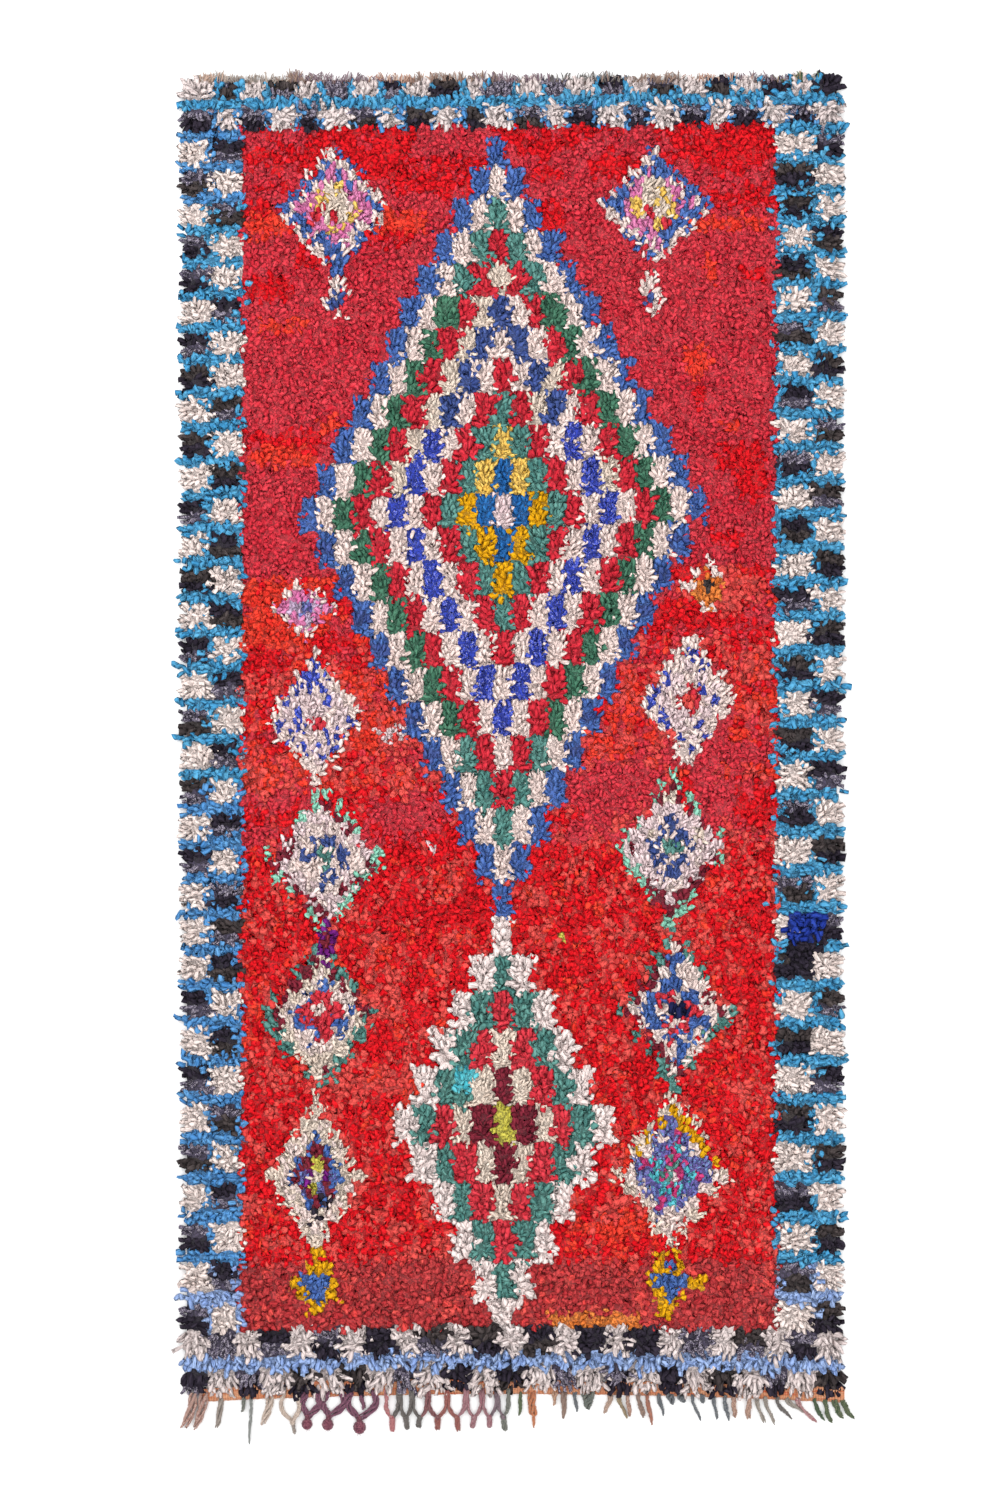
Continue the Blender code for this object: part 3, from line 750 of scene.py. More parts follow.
def rag_ends(who, places, taper, scale):
    """Corners of the rag ends of the chosen knots, as (end, ring, corner, 3), and their rags. The
    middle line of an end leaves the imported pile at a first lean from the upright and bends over
    in two steps, further the more its tuft spreads there, and its section is carried along it,
    twisted."""
    knot = np.repeat(who, len(places))
    count = len(knot)
    offset = np.tile(np.array(places), (len(who), 1))
    tufted = tuft[knot] > 0
    loose = np.where(tufted, TUFT_LOOSE, FIELD_LOOSE)
    quirk_x, quirk_y, quirk_spread, quirk_height = quirks[:, knot]

    mean_x = FAN_PULL * fan_x[knot] + QUIRK_PULL * (quirk_x - 0.5)
    mean_y = FAN_PULL * fan_y[knot] + lift[knot] + QUIRK_PULL * (quirk_y - 0.5)
    mean_size = np.hypot(mean_x, mean_y).clip(0.6, None)
    toward_x = mean_x + SIDE_PULL * edge_pull[knot] + 0.2 * offset[:, 0]
    toward_y = mean_y + END_PULL * (head_pull - tail_pull)[knot]
    toward_y = toward_y + np.where(tufted, 0.0, offset[:, 1])
    toward_x = toward_x + random.normal(0, 1, count) * loose
    toward_y = toward_y + random.normal(0, 1, count) * loose * np.where(
        in_border[knot], BORDER_SHARE, 1.0)
    spread = (np.hypot(toward_x, toward_y) * (0.7 + 0.6 * quirk_spread)).clip(0.3, 1.2)
    heading = np.arctan2(toward_y, toward_x)
    droop = np.abs(edge_pull[knot]) + head_pull[knot] + tail_pull[knot] * (row[knot] > DROOPING_ROW)

    kind = rag_table[rag[knot]]
    width = kind[:, 0] * scale[0] * random.normal(1.0, 0.15, count).clip(0.65, 1.4)
    length = kind[:, 1] * scale[1] * random.normal(1.0, 0.13, count).clip(0.65, 1.35)
    length = length * (1 + TAIL_ROWS_LONGER * tail_pull[knot])
    curl = random.normal(0, 0.3, count)
    turn = random.normal(0, 0.3, count)
    x = root_x[knot] + offset[:, 0] * KNOT_PITCH + random.normal(0, 0.001, count)
    y = root_y[knot] + offset[:, 1] * row_gap[knot] + random.normal(0, 0.002, count)
    x = x - GATHER * length * mean_x / mean_size * tufted
    y = y - GATHER * length * mean_y / mean_size * tufted

    rings = len(RING_PLACES)
    middle = np.empty((count, rings, 3))
    middle[:, 0] = np.stack([x, y, root_z[knot] + 0.003 * (quirk_height - 0.5)], axis=1)
    leans = []
    for j, (least, more) in enumerate(LEANS):
        lean = least + more * spread + random.normal(0, LEAN_STRAY, count) + RIM_DROOP * droop
        lean = lean.clip(0, FURTHEST_LEAN)
        leans.append(lean)
        run = length * (RING_PLACES[j + 1] - RING_PLACES[j])
        step = directions(lean, heading + curl * RING_PLACES[j])
        middle[:, j + 1] = middle[:, j] + run[:, None] * step
    first, second, third = leans
    lean = np.stack([first, (first + second) / 2, (second + third) / 2, third], axis=1)
    way = heading[:, None] + curl[:, None] * RING_PLACES
    along = directions(lean, way)
    flat = np.stack([-np.sin(way), np.cos(way), np.zeros_like(way)], axis=2)
    up = np.cross(along, flat)
    twist = (turn[:, None] * RING_PLACES)[..., None]
    flat = flat * np.cos(twist) + up * np.sin(twist)
    up = np.cross(along, flat)

    widths = np.tile(taper, (count, 1))
    widths[:, -1] *= random.uniform(0.6, 1.4, count)
    half = (width[:, None] * widths / 2)[..., None]
    fold = random.uniform(0.08, 0.18, count) * width
    fold = (fold[:, None] * FOLD_SHARES)[..., None]
    slant = (random.normal(0, 0.12, count) * width)[:, None] * SLANT_SHARES
    slant = slant[..., None] * along
    skew = random.normal(0, 0.2, count)[:, None, None]
    corners = [
        middle + flat * half * (share + skew * height) + up * fold * height + slant * share
        for share, height in SECTION
    ]
    ends = np.stack(corners, axis=2)
    crumple = np.where(tufted, TUFT_CRUMPLE, FIELD_CRUMPLE)[:, None, None, None]
    ends += random.normal(0, 1, ends.shape) * crumple
    ends[..., 2] = np.maximum(ends[..., 2], PILE_LOWEST)
    return ends, rag[knot]


def strip_faces(count, rings, sides, start=0):
    """Faces of count strips or tubes from the point numbered start: a band round the section
    between each two rings, and a cap at each end."""
    ring = np.arange(sides)
    following = (ring + 1) % sides
    bands = np.concatenate([
        np.stack([ring, following, following + sides, ring + sides], axis=1) + j * sides
        for j in range(rings - 1)])
    caps = np.stack([ring[::-1], ring + (rings - 1) * sides])
    shift = start + rings * sides * np.arange(count)[:, None, None]
    return (bands[None] + shift).reshape(-1, 4), (caps[None] + shift).reshape(-1, sides)


def add_uv(made, places):
    """Gives the mesh a UV map from one (u, v) place for each point."""
    layer = made.data.uv_layers.new(name="along")
    corners = np.empty(len(made.data.loops), np.int32)
    made.data.loops.foreach_get("vertex_index", corners)
    layer.data.foreach_set("uv", np.ascontiguousarray(places[corners], np.float32).ravel())


def rag_material(name, dark, light, fleck, fleck_share):
    """Worn cloth: each end has its own tone between the two shades, faint blotches, fine creases along it
    that are bumped and darkened as painted shade, and in a few kinds flecks of another shade."""
    material, shader, thread = cloth_material(name, sheen=0.0)
    place = thread.place()
    tone = thread.mesh_value("tone", output=2)
    colour = (tone * 0.6 + place.noise(90.0) * 0.4).between(paint(*dark), paint(*light))
    if fleck:
        more = 0.3 * fleck_share
        speck = place.noise(480.0, 1.0).rise(0.58 - more, 0.74 - more)
        colour = speck.between(colour, paint(*fleck))
    along = thread.node("ShaderNodeUVMap", {"uv_map": "along"})
    stretched = thread.node(
        "ShaderNodeMapping", {"vector_type": "POINT"},
        {"Vector": along, "Scale": (420.0, 110.0, 1.0)})
    # Fine creases along the end: a bump, plus painted shade that darkens the colour in them
    crease = stretched.noise(1.0, 1.0).rise(0.34, 0.50)
    finish_cloth(shader, colour.darkened(0.26, crease), crease, distance=0.0018, strength=1.0)
    return material


rag_table = np.array([[width, length] for _, _, width, length in RAGS.values()])
narrow = rag_ends(np.flatnonzero(tuft > 0), NARROW_ROOTS, NARROW_TAPER, NARROW_SCALE)
wide = rag_ends(np.flatnonzero(tuft == 0), WIDE_ROOTS, WIDE_TAPER, WIDE_SCALE)
rings, sides = len(RING_PLACES), len(SECTION)
for number, (name, (dark, light, width, length)) in enumerate(RAGS.items()):
    across = np.tile(np.linspace(0, width, sides), rings)
    along = np.repeat(RING_PLACES * length, sides)
    points, faces, places, tones = [], [], [], []
    start = 0
    for ends, rag_of_end in (narrow, wide):
        chosen = ends[rag_of_end == number]
        count = len(chosen)
        points.append(chosen.reshape(-1, 3))
        faces.extend(strip_faces(count, rings, sides, start))
        start += count * rings * sides
        corner = np.repeat(random.uniform(0, 5, (count, 2)), rings * sides, axis=0)
        places.append(np.tile(np.stack([across, along], axis=1), (count, 1)) + corner)
        tones.append(np.repeat(random.random(count), rings * sides))
    piece = mesh_object(f"rags_{name}", np.concatenate(points), faces)
    add_values(piece, "tone", np.concatenate(tones))
    add_uv(piece, np.concatenate(places))
    fleck, fleck_share = FLECKS.get(name, (None, 0.0))
    piece.data.materials.append(rag_material(f"{name} rag", dark, light, fleck, fleck_share))
    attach(piece, "root")
    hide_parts("knotted_pile")


# Tail band
# Flat-woven wool that ends the rug below the last row of knots: orange and gold wefts over warps
# that show as upright ribs. Its upper edge runs up raggedly between the last knots.

BAND_LEFT, BAND_RIGHT = -0.586, 0.624
BAND_DEPTH = 0.024
BAND_LOW = 0.0006
BAND_THICK = 0.0024
BAND_RIB_PITCH = 0.0052
BAND_RIB = 0.0007
BAND_CROWN = 0.0012
BAND_POINT_RISE = 0.010
BAND_POINT_LIFT = 0.0075
BAND_STEP = 0.0014
BAND_DYES = ((192, 120, 84), (208, 152, 118), (196, 92, 58))
# The longest strand of the fringe ends where the rug's box does: its length, its place across
LONGEST_STRAND, LONGEST_ACROSS = 0.085, 0.495
TAIL_EDGE_MIDDLE = (
    round(cad_box[0][1], 4) + LONGEST_STRAND + TAIL_BOW * (LONGEST_ACROSS / HALF_WIDTH) ** 2)


def tail_edge_at(x):
    """The rug's lower edge: a parabola that hangs by TAIL_BOW at the full half width."""
    return TAIL_EDGE_MIDDLE - TAIL_BOW * (x / HALF_WIDTH) ** 2


def ragged(x, pitch, seed):
    """Uneven points along the rug: straight lines between even random heights, one each pitch."""
    heights = np.random.default_rng(seed).random(int(2 * HALF_WIDTH / pitch) + 2)
    return np.interp((x + HALF_WIDTH) / pitch, np.arange(len(heights)), heights)


along = np.arange(BAND_LEFT, BAND_RIGHT, BAND_STEP)
share_up = np.array([0.0, 0.25, 0.5, 0.75, 0.9, 1.0])[:, None]
band_x = np.tile(along, (len(share_up), 1))
peak = (ragged(along, 0.0075, 3) * ragged(along, 0.021, 4) * 2.2 - 0.5).clip(0, 1.2)
edge_wave = 0.0016 * (ragged(along, 0.004, 6) - 0.5) * (share_up < 0.1)
band_y = tail_edge_at(along) + BAND_DEPTH * share_up + edge_wave
band_y = band_y + BAND_POINT_RISE * peak * (share_up - 0.75).clip(0, None) * 4
ribbing = np.cos(along / BAND_RIB_PITCH * 2 * np.pi) + 0.8 * (ragged(along, 0.003, 7) - 0.5)
band_z = BAND_LOW + BAND_THICK + BAND_RIB * ribbing + BAND_CROWN * np.sin(share_up * np.pi)
climb = ((share_up - 0.5).clip(0, None) * 2) ** 2
band_z = band_z + BAND_POINT_LIFT * (0.35 + 0.65 * peak) * climb
top = np.stack([band_x, band_y, band_z], axis=2)
bottom = np.stack([band_x, band_y, np.maximum(band_z - BAND_THICK, BAND_LOW)], axis=2)
points, faces = closed_sheet(top, bottom)
tail_weave = mesh_object("tail_weave", points, [faces])
add_uv(tail_weave, np.tile(
    np.stack([band_x, np.broadcast_to(share_up, band_x.shape)], axis=2).reshape(-1, 2), (2, 1)))
material, shader, thread = cloth_material("orange wool weave", sheen=0.1)
woven_place = thread.node("ShaderNodeUVMap", {"uv_map": "along"})
across = thread.node("ShaderNodeSeparateXYZ", (), {"Vector": woven_place})
ribs = (across * (2 * np.pi / BAND_RIB_PITCH) + np.pi / 2).sine() * 0.5 + 0.5
gold = woven_place.noise(16.0, 2.0).rise(0.40, 0.62)
hot = woven_place.noise(7.0, 2.0).rise(0.56, 0.66)
orange_dye, gold_dye, hot_dye = [paint(*dye) for dye in BAND_DYES]
colour = hot.between(gold.between(orange_dye, gold_dye), hot_dye)
grain = thread.place().noise(420.0, 2.0)
# Painted shade: the colour darkens in the hollows between the ribs and in the low places of the fine
# grain
colour = colour.darkened(0.40, (ribs * 0.3 + grain).rise(0.3, 0.85))
finish_cloth(shader, colour, ribs * 0.4 + grain, distance=0.0014, strength=1.0)
tail_weave.data.materials.append(material)
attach(tail_weave, "root")
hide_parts("tail_band")


# Fringe
# The warps' ends, which come out from under the tail band and the pile and lie on the floor. Most
# are loose bundles of soft yarn, four pairs are tied into one tail each, and a stretch is netted.

YARN_RADIUS = 0.0027
YARN_RINGS = 22
YARN_SIDES = 6
HAIRS = 5600
HAIR_RADIUS = 0.00028
HAIR_RINGS = 2
HAIR_SIDES = 3
YARN_LOWEST, YARN_HIGHEST = 0.0004, 0.0125
# How far the strands start inside the rug's lower edge: tied ones, loose ones, and the loose ones
# at the left corner, under the pile
YARN_UNDER_BAND = 0.012
LOOSE_UNDER_BAND = 0.004
CORNER_UNDER_PILE = 0.018
YARN_DYES = {
    "rust": ((146, 100, 90), (196, 166, 154)),
    "stone": ((170, 156, 146), (126, 118, 112)),
    "moss": ((86, 92, 84), (136, 134, 126)),
    "ash": ((104, 110, 108), (154, 154, 150)),
    "cream": ((212, 194, 180), (170, 150, 138)),
    "plum": ((84, 40, 68), (142, 94, 112)),
    "wine": ((84, 32, 52), (142, 84, 98)),
    "blush yarn": ((172, 82, 90), (180, 136, 134)),
    "pewter": ((122, 114, 110), (80, 78, 76)),
    "maroon yarn": ((100, 46, 56), (148, 104, 104)),
    "russet": ((140, 62, 58), (158, 112, 104)),
    "mauve": ((140, 80, 94), (168, 134, 136)),
    "dusk": ((102, 80, 92), (142, 124, 130)),
    "leaf": ((54, 82, 52), (110, 112, 86)),
    "flame": ((196, 104, 56), (168, 126, 100)),
    "tan": ((162, 118, 94), (188, 158, 136)),
    "bark": ((154, 126, 112), (122, 104, 96)),
    "slate": ((78, 84, 92), (124, 126, 128)),
    "lichen": ((120, 120, 110), (84, 94, 92)),
    "sand": ((188, 160, 144), (156, 132, 118)),
    "olive": ((126, 114, 82), (164, 142, 118)),
    "clay": ((156, 114, 98), (188, 160, 144)),
    "ember": ((164, 90, 66), (152, 118, 104)),
    "fog": ((168, 158, 148), (130, 122, 114)),
    "bloom": ((160, 96, 104), (182, 152, 148)),
    "pine": ((46, 70, 48), (90, 104, 78)),
}
# Loose strands in millimetres: root from the rug's middle line, sway of the tip, length, width at
# the root, width at the tip, and the dye
LOOSE_STRANDS = (
    (-604, -22, 53, 15, 12, "rust"),
    (-584, -20, 53, 16, 9, "rust"),
    (-550, -12, 54, 10, 8, "stone"),
    (-507, -6, 24, 7, 4, "moss"),
    (-495, -2, 85, 4, 9, "ash"),
    (-460, -13, 52, 15, 9, "cream"),
    (-285, 2, 26, 7, 6, "plum"),
    (14, -5, 44, 8, 5, "leaf"),
    (36, 2, 64, 17, 5, "flame"),
    (78, -3, 22, 8, 4, "tan"),
    (96, -4, 47, 10, 6, "bark"),
    (116, 3, 33, 8, 5, "slate"),
    (140, 2, 28, 22, 8, "lichen"),
    (182, -11, 37, 9, 7, "sand"),
    (199, 15, 44, 8, 5, "olive"),
    (216, 2, 42, 8, 6, "clay"),
    (236, 10, 43, 8, 7, "bark"),
    (253, 8, 57, 9, 5, "ember"),
    (275, 8, 37, 8, 5, "slate"),
    (296, 3, 15, 12, 7, "slate"),
    (318, -2, 10, 16, 9, "slate"),
    (338, 15, 46, 6, 4, "slate"),
    (356, -1, 11, 10, 6, "slate"),
    (378, 6, 44, 7, 5, "slate"),
    (399, 7, 45, 7, 5, "slate"),
    (416, 0, 37, 8, 8, "clay"),
    (443, 0, 40, 8, 9, "clay"),
    (459, 16, 50, 7, 8, "fog"),
    (476, 17, 49, 7, 6, "fog"),
    (497, 30, 38, 8, 4, "pewter"),
    (518, 30, 22, 8, 7, "fog"),
    (537, 34, 42, 9, 6, "bloom"),
    (567, 22, 38, 8, 6, "pine"),
    (586, 15, 40, 9, 7, "leaf"),
    (605, 19, 31, 10, 8, "leaf"),
    (621, 23, 31, 9, 7, "leaf"),
)
# Strands left of this root, in millimetres, start under the pile at the corner
CORNER_ROOT = -570
STRAND_WAVE = 0.0012
STRAND_FULLNESS = 1.25
# Millimetres of a strand's width to each of its yarns
YARN_SHARE = 3.0
# The ash strand ends in a tuft: where along it that starts, its share of the length, its width
# and the width above it
TUFT_START, TUFT_SHARE, TUFT_WIDTH, TUFT_STALK = 0.68, 0.32, 0.0095, 0.0042
# The flame strand thins to a tail: where along it that starts, and its width
THIN_START, THIN_WIDTH = 0.6, 0.0045
# Tied pairs in millimetres: left root, right root, the knot's place across, its depth, the tail's
# end across, its depth, strand width, tail width, dye of the strands, dye of the tail, and the
# radius of the ball at its end
TIED_PAIRS = (
    (-432, -410, -416, 46, -412, 68, 9, 5, "cream", "stone", 0),
    (-391, -371, -388, 36, -389, 44, 14, 12, "plum", "wine", 10.5),
    (-352, -324, -348, 37, -350, 46, 14, 13, "plum", "wine", 11),
    (-306, -264, -291, 42, -290, 52, 14, 14, "plum", "wine", 12.5),
)
# How far a tied pair's strands swing out, and the turns of twist in them
PAIR_SWING, PAIR_TURNS = 0.008, 0.8
# The net in millimetres: roots across with their dyes, depths of the forks, knots and tail ends
NET_ROOTS = (
    (-242, "blush yarn"), (-215, "pewter"), (-191, "pewter"), (-161, "maroon yarn"),
    (-125, "russet"), (-89, "mauve"), (-59, "mauve"), (-31, "dusk"), (-7, "moss"))
NET_FORK, NET_KNOT, NET_TAIL = 17, 43, 68
MM = 0.001
# Turns of twist in the net's strands, their width and its tails' width in metres, and in
# millimetres how far a root's two strands start from its middle
NET_TURNS, NET_WIDTH, NET_TAIL_WIDTH, NET_SPLAY = 0.9, 0.0084, 0.0110, 2.4
# Height of the middle of knots and balls
LUMP_MIDDLE = 0.0062

t = np.linspace(0, 1, YARN_RINGS)
bundles = []


def add_bundle(x, y, width, dye, count, turns=0.6, fray=0.12):
    """Notes a bundle of yarns: the places of its middle line, its width there, and its look."""
    bundles.append((np.stack([x, y], axis=1), width, YARN_DYES[dye], count, turns, fray))


for x, sway, length, root_width, tip_width, dye in LOOSE_STRANDS:
    edge = tail_edge_at(x * MM)
    wave = np.sin(t * np.pi * 2) * STRAND_WAVE * (-1) ** (x // 10)
    tuck = CORNER_UNDER_PILE if x < CORNER_ROOT else LOOSE_UNDER_BAND
    span = t * (length * MM + tuck) - tuck
    reach = (span / (length * MM)).clip(0, 1)
    widths = (root_width + (tip_width - root_width) * reach) * STRAND_FULLNESS * MM
    if dye == "ash":
        swell = np.sin((reach - TUFT_START) / TUFT_SHARE * 2.6).clip(0.3, 1)
        widths = np.where(reach > TUFT_START, TUFT_WIDTH * swell, TUFT_STALK)
    if dye == "flame":
        widths = np.where(reach > THIN_START, THIN_WIDTH, root_width * MM)
    count = max(2, round((root_width + tip_width) / 2 / YARN_SHARE))
    add_bundle(x * MM + sway * MM * reach**1.5 + wave, edge - span, widths, dye, count)

for (left, right, across, depth, end, end_depth,
        width, tail_width, dye, tail_dye, _) in TIED_PAIRS:
    edge = tail_edge_at(across * MM)
    count = 3 if dye == "cream" else 4
    for root in (left, right):
        out = np.sin(t * np.pi) ** 2 * PAIR_SWING * np.sign(root - across)
        path_x = root * MM + (across - root) * MM * t**3 + out
        path_y = edge + YARN_UNDER_BAND - t * (depth * MM + YARN_UNDER_BAND)
        add_bundle(
            path_x, path_y, np.full_like(t, width * MM), dye, count, turns=PAIR_TURNS, fray=0.0)
    add_bundle(
        (across + (end - across) * t) * MM, edge - (depth + (end_depth - depth) * t) * MM,
        np.full_like(t, tail_width * MM * 0.8), tail_dye, max(3, round(tail_width / YARN_SHARE)))

for i, (root, dye) in enumerate(NET_ROOTS):
    edge = tail_edge_at(root * MM)
    for side in (-1, 1):
        if not 0 <= i + side < len(NET_ROOTS):
            continue
        neighbour = NET_ROOTS[i + side][0]
        across = (root + neighbour) / 2
        span = t * (NET_KNOT * MM + YARN_UNDER_BAND) - YARN_UNDER_BAND
        turn = ((span / MM - NET_FORK) / (NET_KNOT - NET_FORK)).clip(0, 1) ** 2.2
        path_x = root + side * NET_SPLAY + (across - root - side * NET_SPLAY) * turn
        path_x = path_x * MM
        add_bundle(
            path_x, edge - span, np.full_like(t, NET_WIDTH), dye, 2, turns=NET_TURNS, fray=0.0)
    if i + 1 < len(NET_ROOTS):
        across = (root + NET_ROOTS[i + 1][0]) / 2 * MM
        edge = tail_edge_at(across)
        sway = 0.004 * np.sin(i * 2.1)
        tail = NET_TAIL + 4 * np.cos(i * 1.7)
        add_bundle(
            across + sway * t, edge - (NET_KNOT - 2 + (tail - NET_KNOT) * t) * MM,
            np.full_like(t, NET_TAIL_WIDTH), NET_ROOTS[i + i % 2][1], 4, turns=0.5, fray=0.1)


def tubes(middle, radius, sides):
    """Points of tubes, as (tube, ring, side, 3): round each point of a middle line a ring of its
    own radius, square to the line."""
    ahead = np.gradient(middle, axis=1)
    ahead = ahead / np.linalg.norm(ahead, axis=2, keepdims=True)
    across = np.stack([-ahead[..., 1], ahead[..., 0], np.zeros(ahead.shape[:2])], axis=2)
    across = across / np.linalg.norm(across, axis=2, keepdims=True)
    up = np.cross(ahead, across)
    angle = 2 * np.pi * np.arange(sides) / sides
    ring = np.cos(angle)[:, None] * across[:, :, None] + np.sin(angle)[:, None] * up[:, :, None]
    return middle[:, :, None] + radius[:, :, None, None] * ring


def yarn_lines(path, width, count, turns, fray):
    """Middle lines and radii of a bundle's yarns. Each circles the bundle's own line, out to its
    half width across and a yarn's thickness in height, and stops short by its share of the fray."""
    ahead = np.gradient(path, axis=0)
    ahead = ahead / np.linalg.norm(ahead, axis=1, keepdims=True)
    side = np.stack([-ahead[:, 1], ahead[:, 0]], axis=1)
    phase = 2 * np.pi * (np.arange(count) / count)[:, None] + random.uniform(0, 6)
    phase = phase + 2 * np.pi * turns * t
    reach = (width / 2 - YARN_RADIUS).clip(0.0004, None)
    across = reach * (np.cos(phase) + random.normal(0, 0.12, (count, 1)))
    short = 1 - fray * random.random((count, 1))
    place = np.stack([np.interp(t * share, t, line) for share in short[:, 0] for line in path.T])
    place = place.reshape(count, 2, YARN_RINGS).transpose(0, 2, 1)
    plan = place + across[..., None] * side + random.normal(0, 0.0003, place.shape)
    height = YARN_RADIUS * (1.1 + 0.9 * (1 + np.sin(phase))) * (0.4 + 0.6 * (t / 0.15).clip(0, 1))
    radius = YARN_RADIUS * random.normal(1.0, 0.12, (count, 1)) * np.ones(YARN_RINGS)
    radius = radius * (1 - 0.6 * t**8) * (1 + 0.10 * random.normal(0, 1, radius.shape))
    return np.concatenate([plan, height[..., None]], axis=2), radius


lines, radii, dyes = [], [], []
for path, width, dye_pair, count, turns, fray in bundles:
    line, radius = yarn_lines(path, width, count, turns, fray)
    lines.append(line)
    radii.append(radius)
    mix = random.random((count, 1))
    first, second = np.array([paint(*dye) for dye in dye_pair])
    dyes.append(np.stack(
        [first + (second - first) * mix * 0.5, second + (first - second) * mix * 0.5], axis=1))
# Knots and balls in millimetres: middle across, depth below the edge, radius, dye
lumps = [(pair[2], pair[3], 5.5, pair[9] if pair[10] else pair[8]) for pair in TIED_PAIRS]
lumps += [(pair[4], pair[5] + 0.5 * pair[10], pair[10], pair[9]) for pair in TIED_PAIRS if pair[10]]
lumps += [((a + b) / 2, NET_KNOT, 5.0, dye) for (a, dye), (b, _) in zip(NET_ROOTS, NET_ROOTS[1:])]
# From pole to pole of a lump, less a little at each
polar = np.pi * (0.06 + 0.88 * t)
for across, depth, radius, dye in lumps:
    middle_y = tail_edge_at(across * MM) - depth * MM
    run = np.cos(polar) * radius * MM
    line = [np.full_like(t, across * MM), middle_y + run, np.full_like(t, LUMP_MIDDLE)]
    lines.append(np.stack(line, axis=1)[None])
    uneven = 1 + 0.05 * random.normal(0, 1, YARN_RINGS)
    radii.append((np.sin(polar) * radius * MM * uneven)[None])
    dyes.append(np.array([[paint(*dye) for dye in YARN_DYES[dye]]]))
lines, radii, dyes = np.concatenate(lines), np.concatenate(radii), np.concatenate(dyes)
yarn = tubes(lines, radii, YARN_SIDES) + random.normal(0, 0.0002, (*radii.shape, YARN_SIDES, 3))
# Fuzz: stray fibres that stand out sideways from the yarns
source = random.integers(0, len(lines), HAIRS)
place = random.integers(4, YARN_RINGS, HAIRS)
start = lines[source, place]
angle = random.uniform(0, 2 * np.pi, HAIRS)
run = radii[source, place][:, None] + random.uniform(0.0004, 0.0026, (HAIRS, 1))
climb = random.uniform(-0.2, 0.5, HAIRS)
tip = start + run * np.stack([np.cos(angle), np.sin(angle), climb], axis=1)
hair_radii = np.tile([HAIR_RADIUS, 0.3 * HAIR_RADIUS], (HAIRS, 1))
hair = tubes(np.stack([start, tip], axis=1), hair_radii, HAIR_SIDES)
points = np.concatenate([yarn.reshape(-1, 3), hair.reshape(-1, 3)])
points[:, 2] = points[:, 2].clip(YARN_LOWEST, YARN_HIGHEST)
faces = [
    *strip_faces(len(yarn), YARN_RINGS, YARN_SIDES),
    *strip_faces(HAIRS, HAIR_RINGS, HAIR_SIDES, start=yarn.size // 3),
]
fringe = mesh_object("fringe", points, faces)
dyes = np.concatenate([
    np.repeat(dyes, YARN_RINGS * YARN_SIDES, axis=0),
    np.repeat(dyes[source], HAIR_RINGS * HAIR_SIDES, axis=0)])
add_values(fringe, "dye", dyes[:, 0], "FLOAT_COLOR")
add_values(fringe, "second_dye", dyes[:, 1], "FLOAT_COLOR")
material, shader, thread = cloth_material("fringe yarn", sheen=0.15)
place = thread.place()
mottle = place.noise(420.0, 2.0).rise(0.42, 0.58)
colour = mottle.between(thread.mesh_value("dye"), thread.mesh_value("second_dye"))
# Painted shade: the colour darkens in the low places of the yarn's bump
shade = place.noise(620.0, 3.0, 0.6)
colour = colour.darkened(0.5, shade.rise(0.36, 0.56))
finish_cloth(shader, colour, shade, distance=0.0016, strength=1.0)
fringe.data.materials.append(material)
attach(fringe, "root")
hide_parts("tail_band")


# Head edge
# A narrow strip of weave above the first knots, and beyond it the warps' short cut ends: wiry,
# uneven, bent every way and in the colours of the warps.

HEAD_LEFT, HEAD_RIGHT = -0.600, 0.585
HEAD_LOW, HEAD_HIGH = 1.262, 1.2765
STRIP_LOW, STRIP_HIGH = 0.0006, 0.0030
STRIP_RIB, STRIP_RIB_PITCH = 0.0004, 0.005
STRIP_POINTS = 600
HEAD_ENDS = 620
HEAD_END_RINGS = 6
HEAD_END_SIDES = 5
HEAD_END_RADIUS = 0.0012
# Where the cut ends come out of the strip, how unevenly, and the furthest that they reach
HEAD_END_ROOT, HEAD_END_UNEVEN, HEAD_END_LIMIT = 1.268, 0.004, 1.3
# Dye of the cut ends by their place across, in millimetres, as shares of the stretch from there
HEAD_DYES = (
    (-625, "sand"), (-555, "stone"), (-440, "bark"), (-400, "dusk"), (-250, "clay"), (-180, "bark"),
    (-60, "dusk"), (60, "pewter"), (200, "bark"), (330, "clay"), (400, "dusk"), (500, "olive"),
    (540, "pine"))

along = np.linspace(HEAD_LEFT, HEAD_RIGHT, STRIP_POINTS)
share_up = np.array([0.0, 0.5, 1.0])[:, None]
strip_x = np.tile(along, (len(share_up), 1))
strip_y = HEAD_LOW + (HEAD_HIGH - HEAD_LOW) * share_up + 0.0012 * (ragged(along, 0.004, 9) - 0.5)
strip_z = STRIP_HIGH + STRIP_RIB * np.cos(along / STRIP_RIB_PITCH * 2 * np.pi) + 0 * share_up
points, faces = closed_sheet(
    np.stack([strip_x, strip_y, strip_z], axis=2),
    np.stack([strip_x, strip_y, np.full_like(strip_x, STRIP_LOW)], axis=2))
head_strip = mesh_object("head_strip", points, [faces])
material, shader, thread = cloth_material("brown wool strip", sheen=0.1)
place = thread.place()
colour = place.noise(60.0, 2.0).rise(0.35, 0.65).between(paint(120, 92, 84), paint(160, 134, 116))
finish_cloth(shader, colour, place.noise(500.0, 2.0), distance=0.0008, strength=0.8)
head_strip.data.materials.append(material)
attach(head_strip, "root")
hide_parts("head_band")

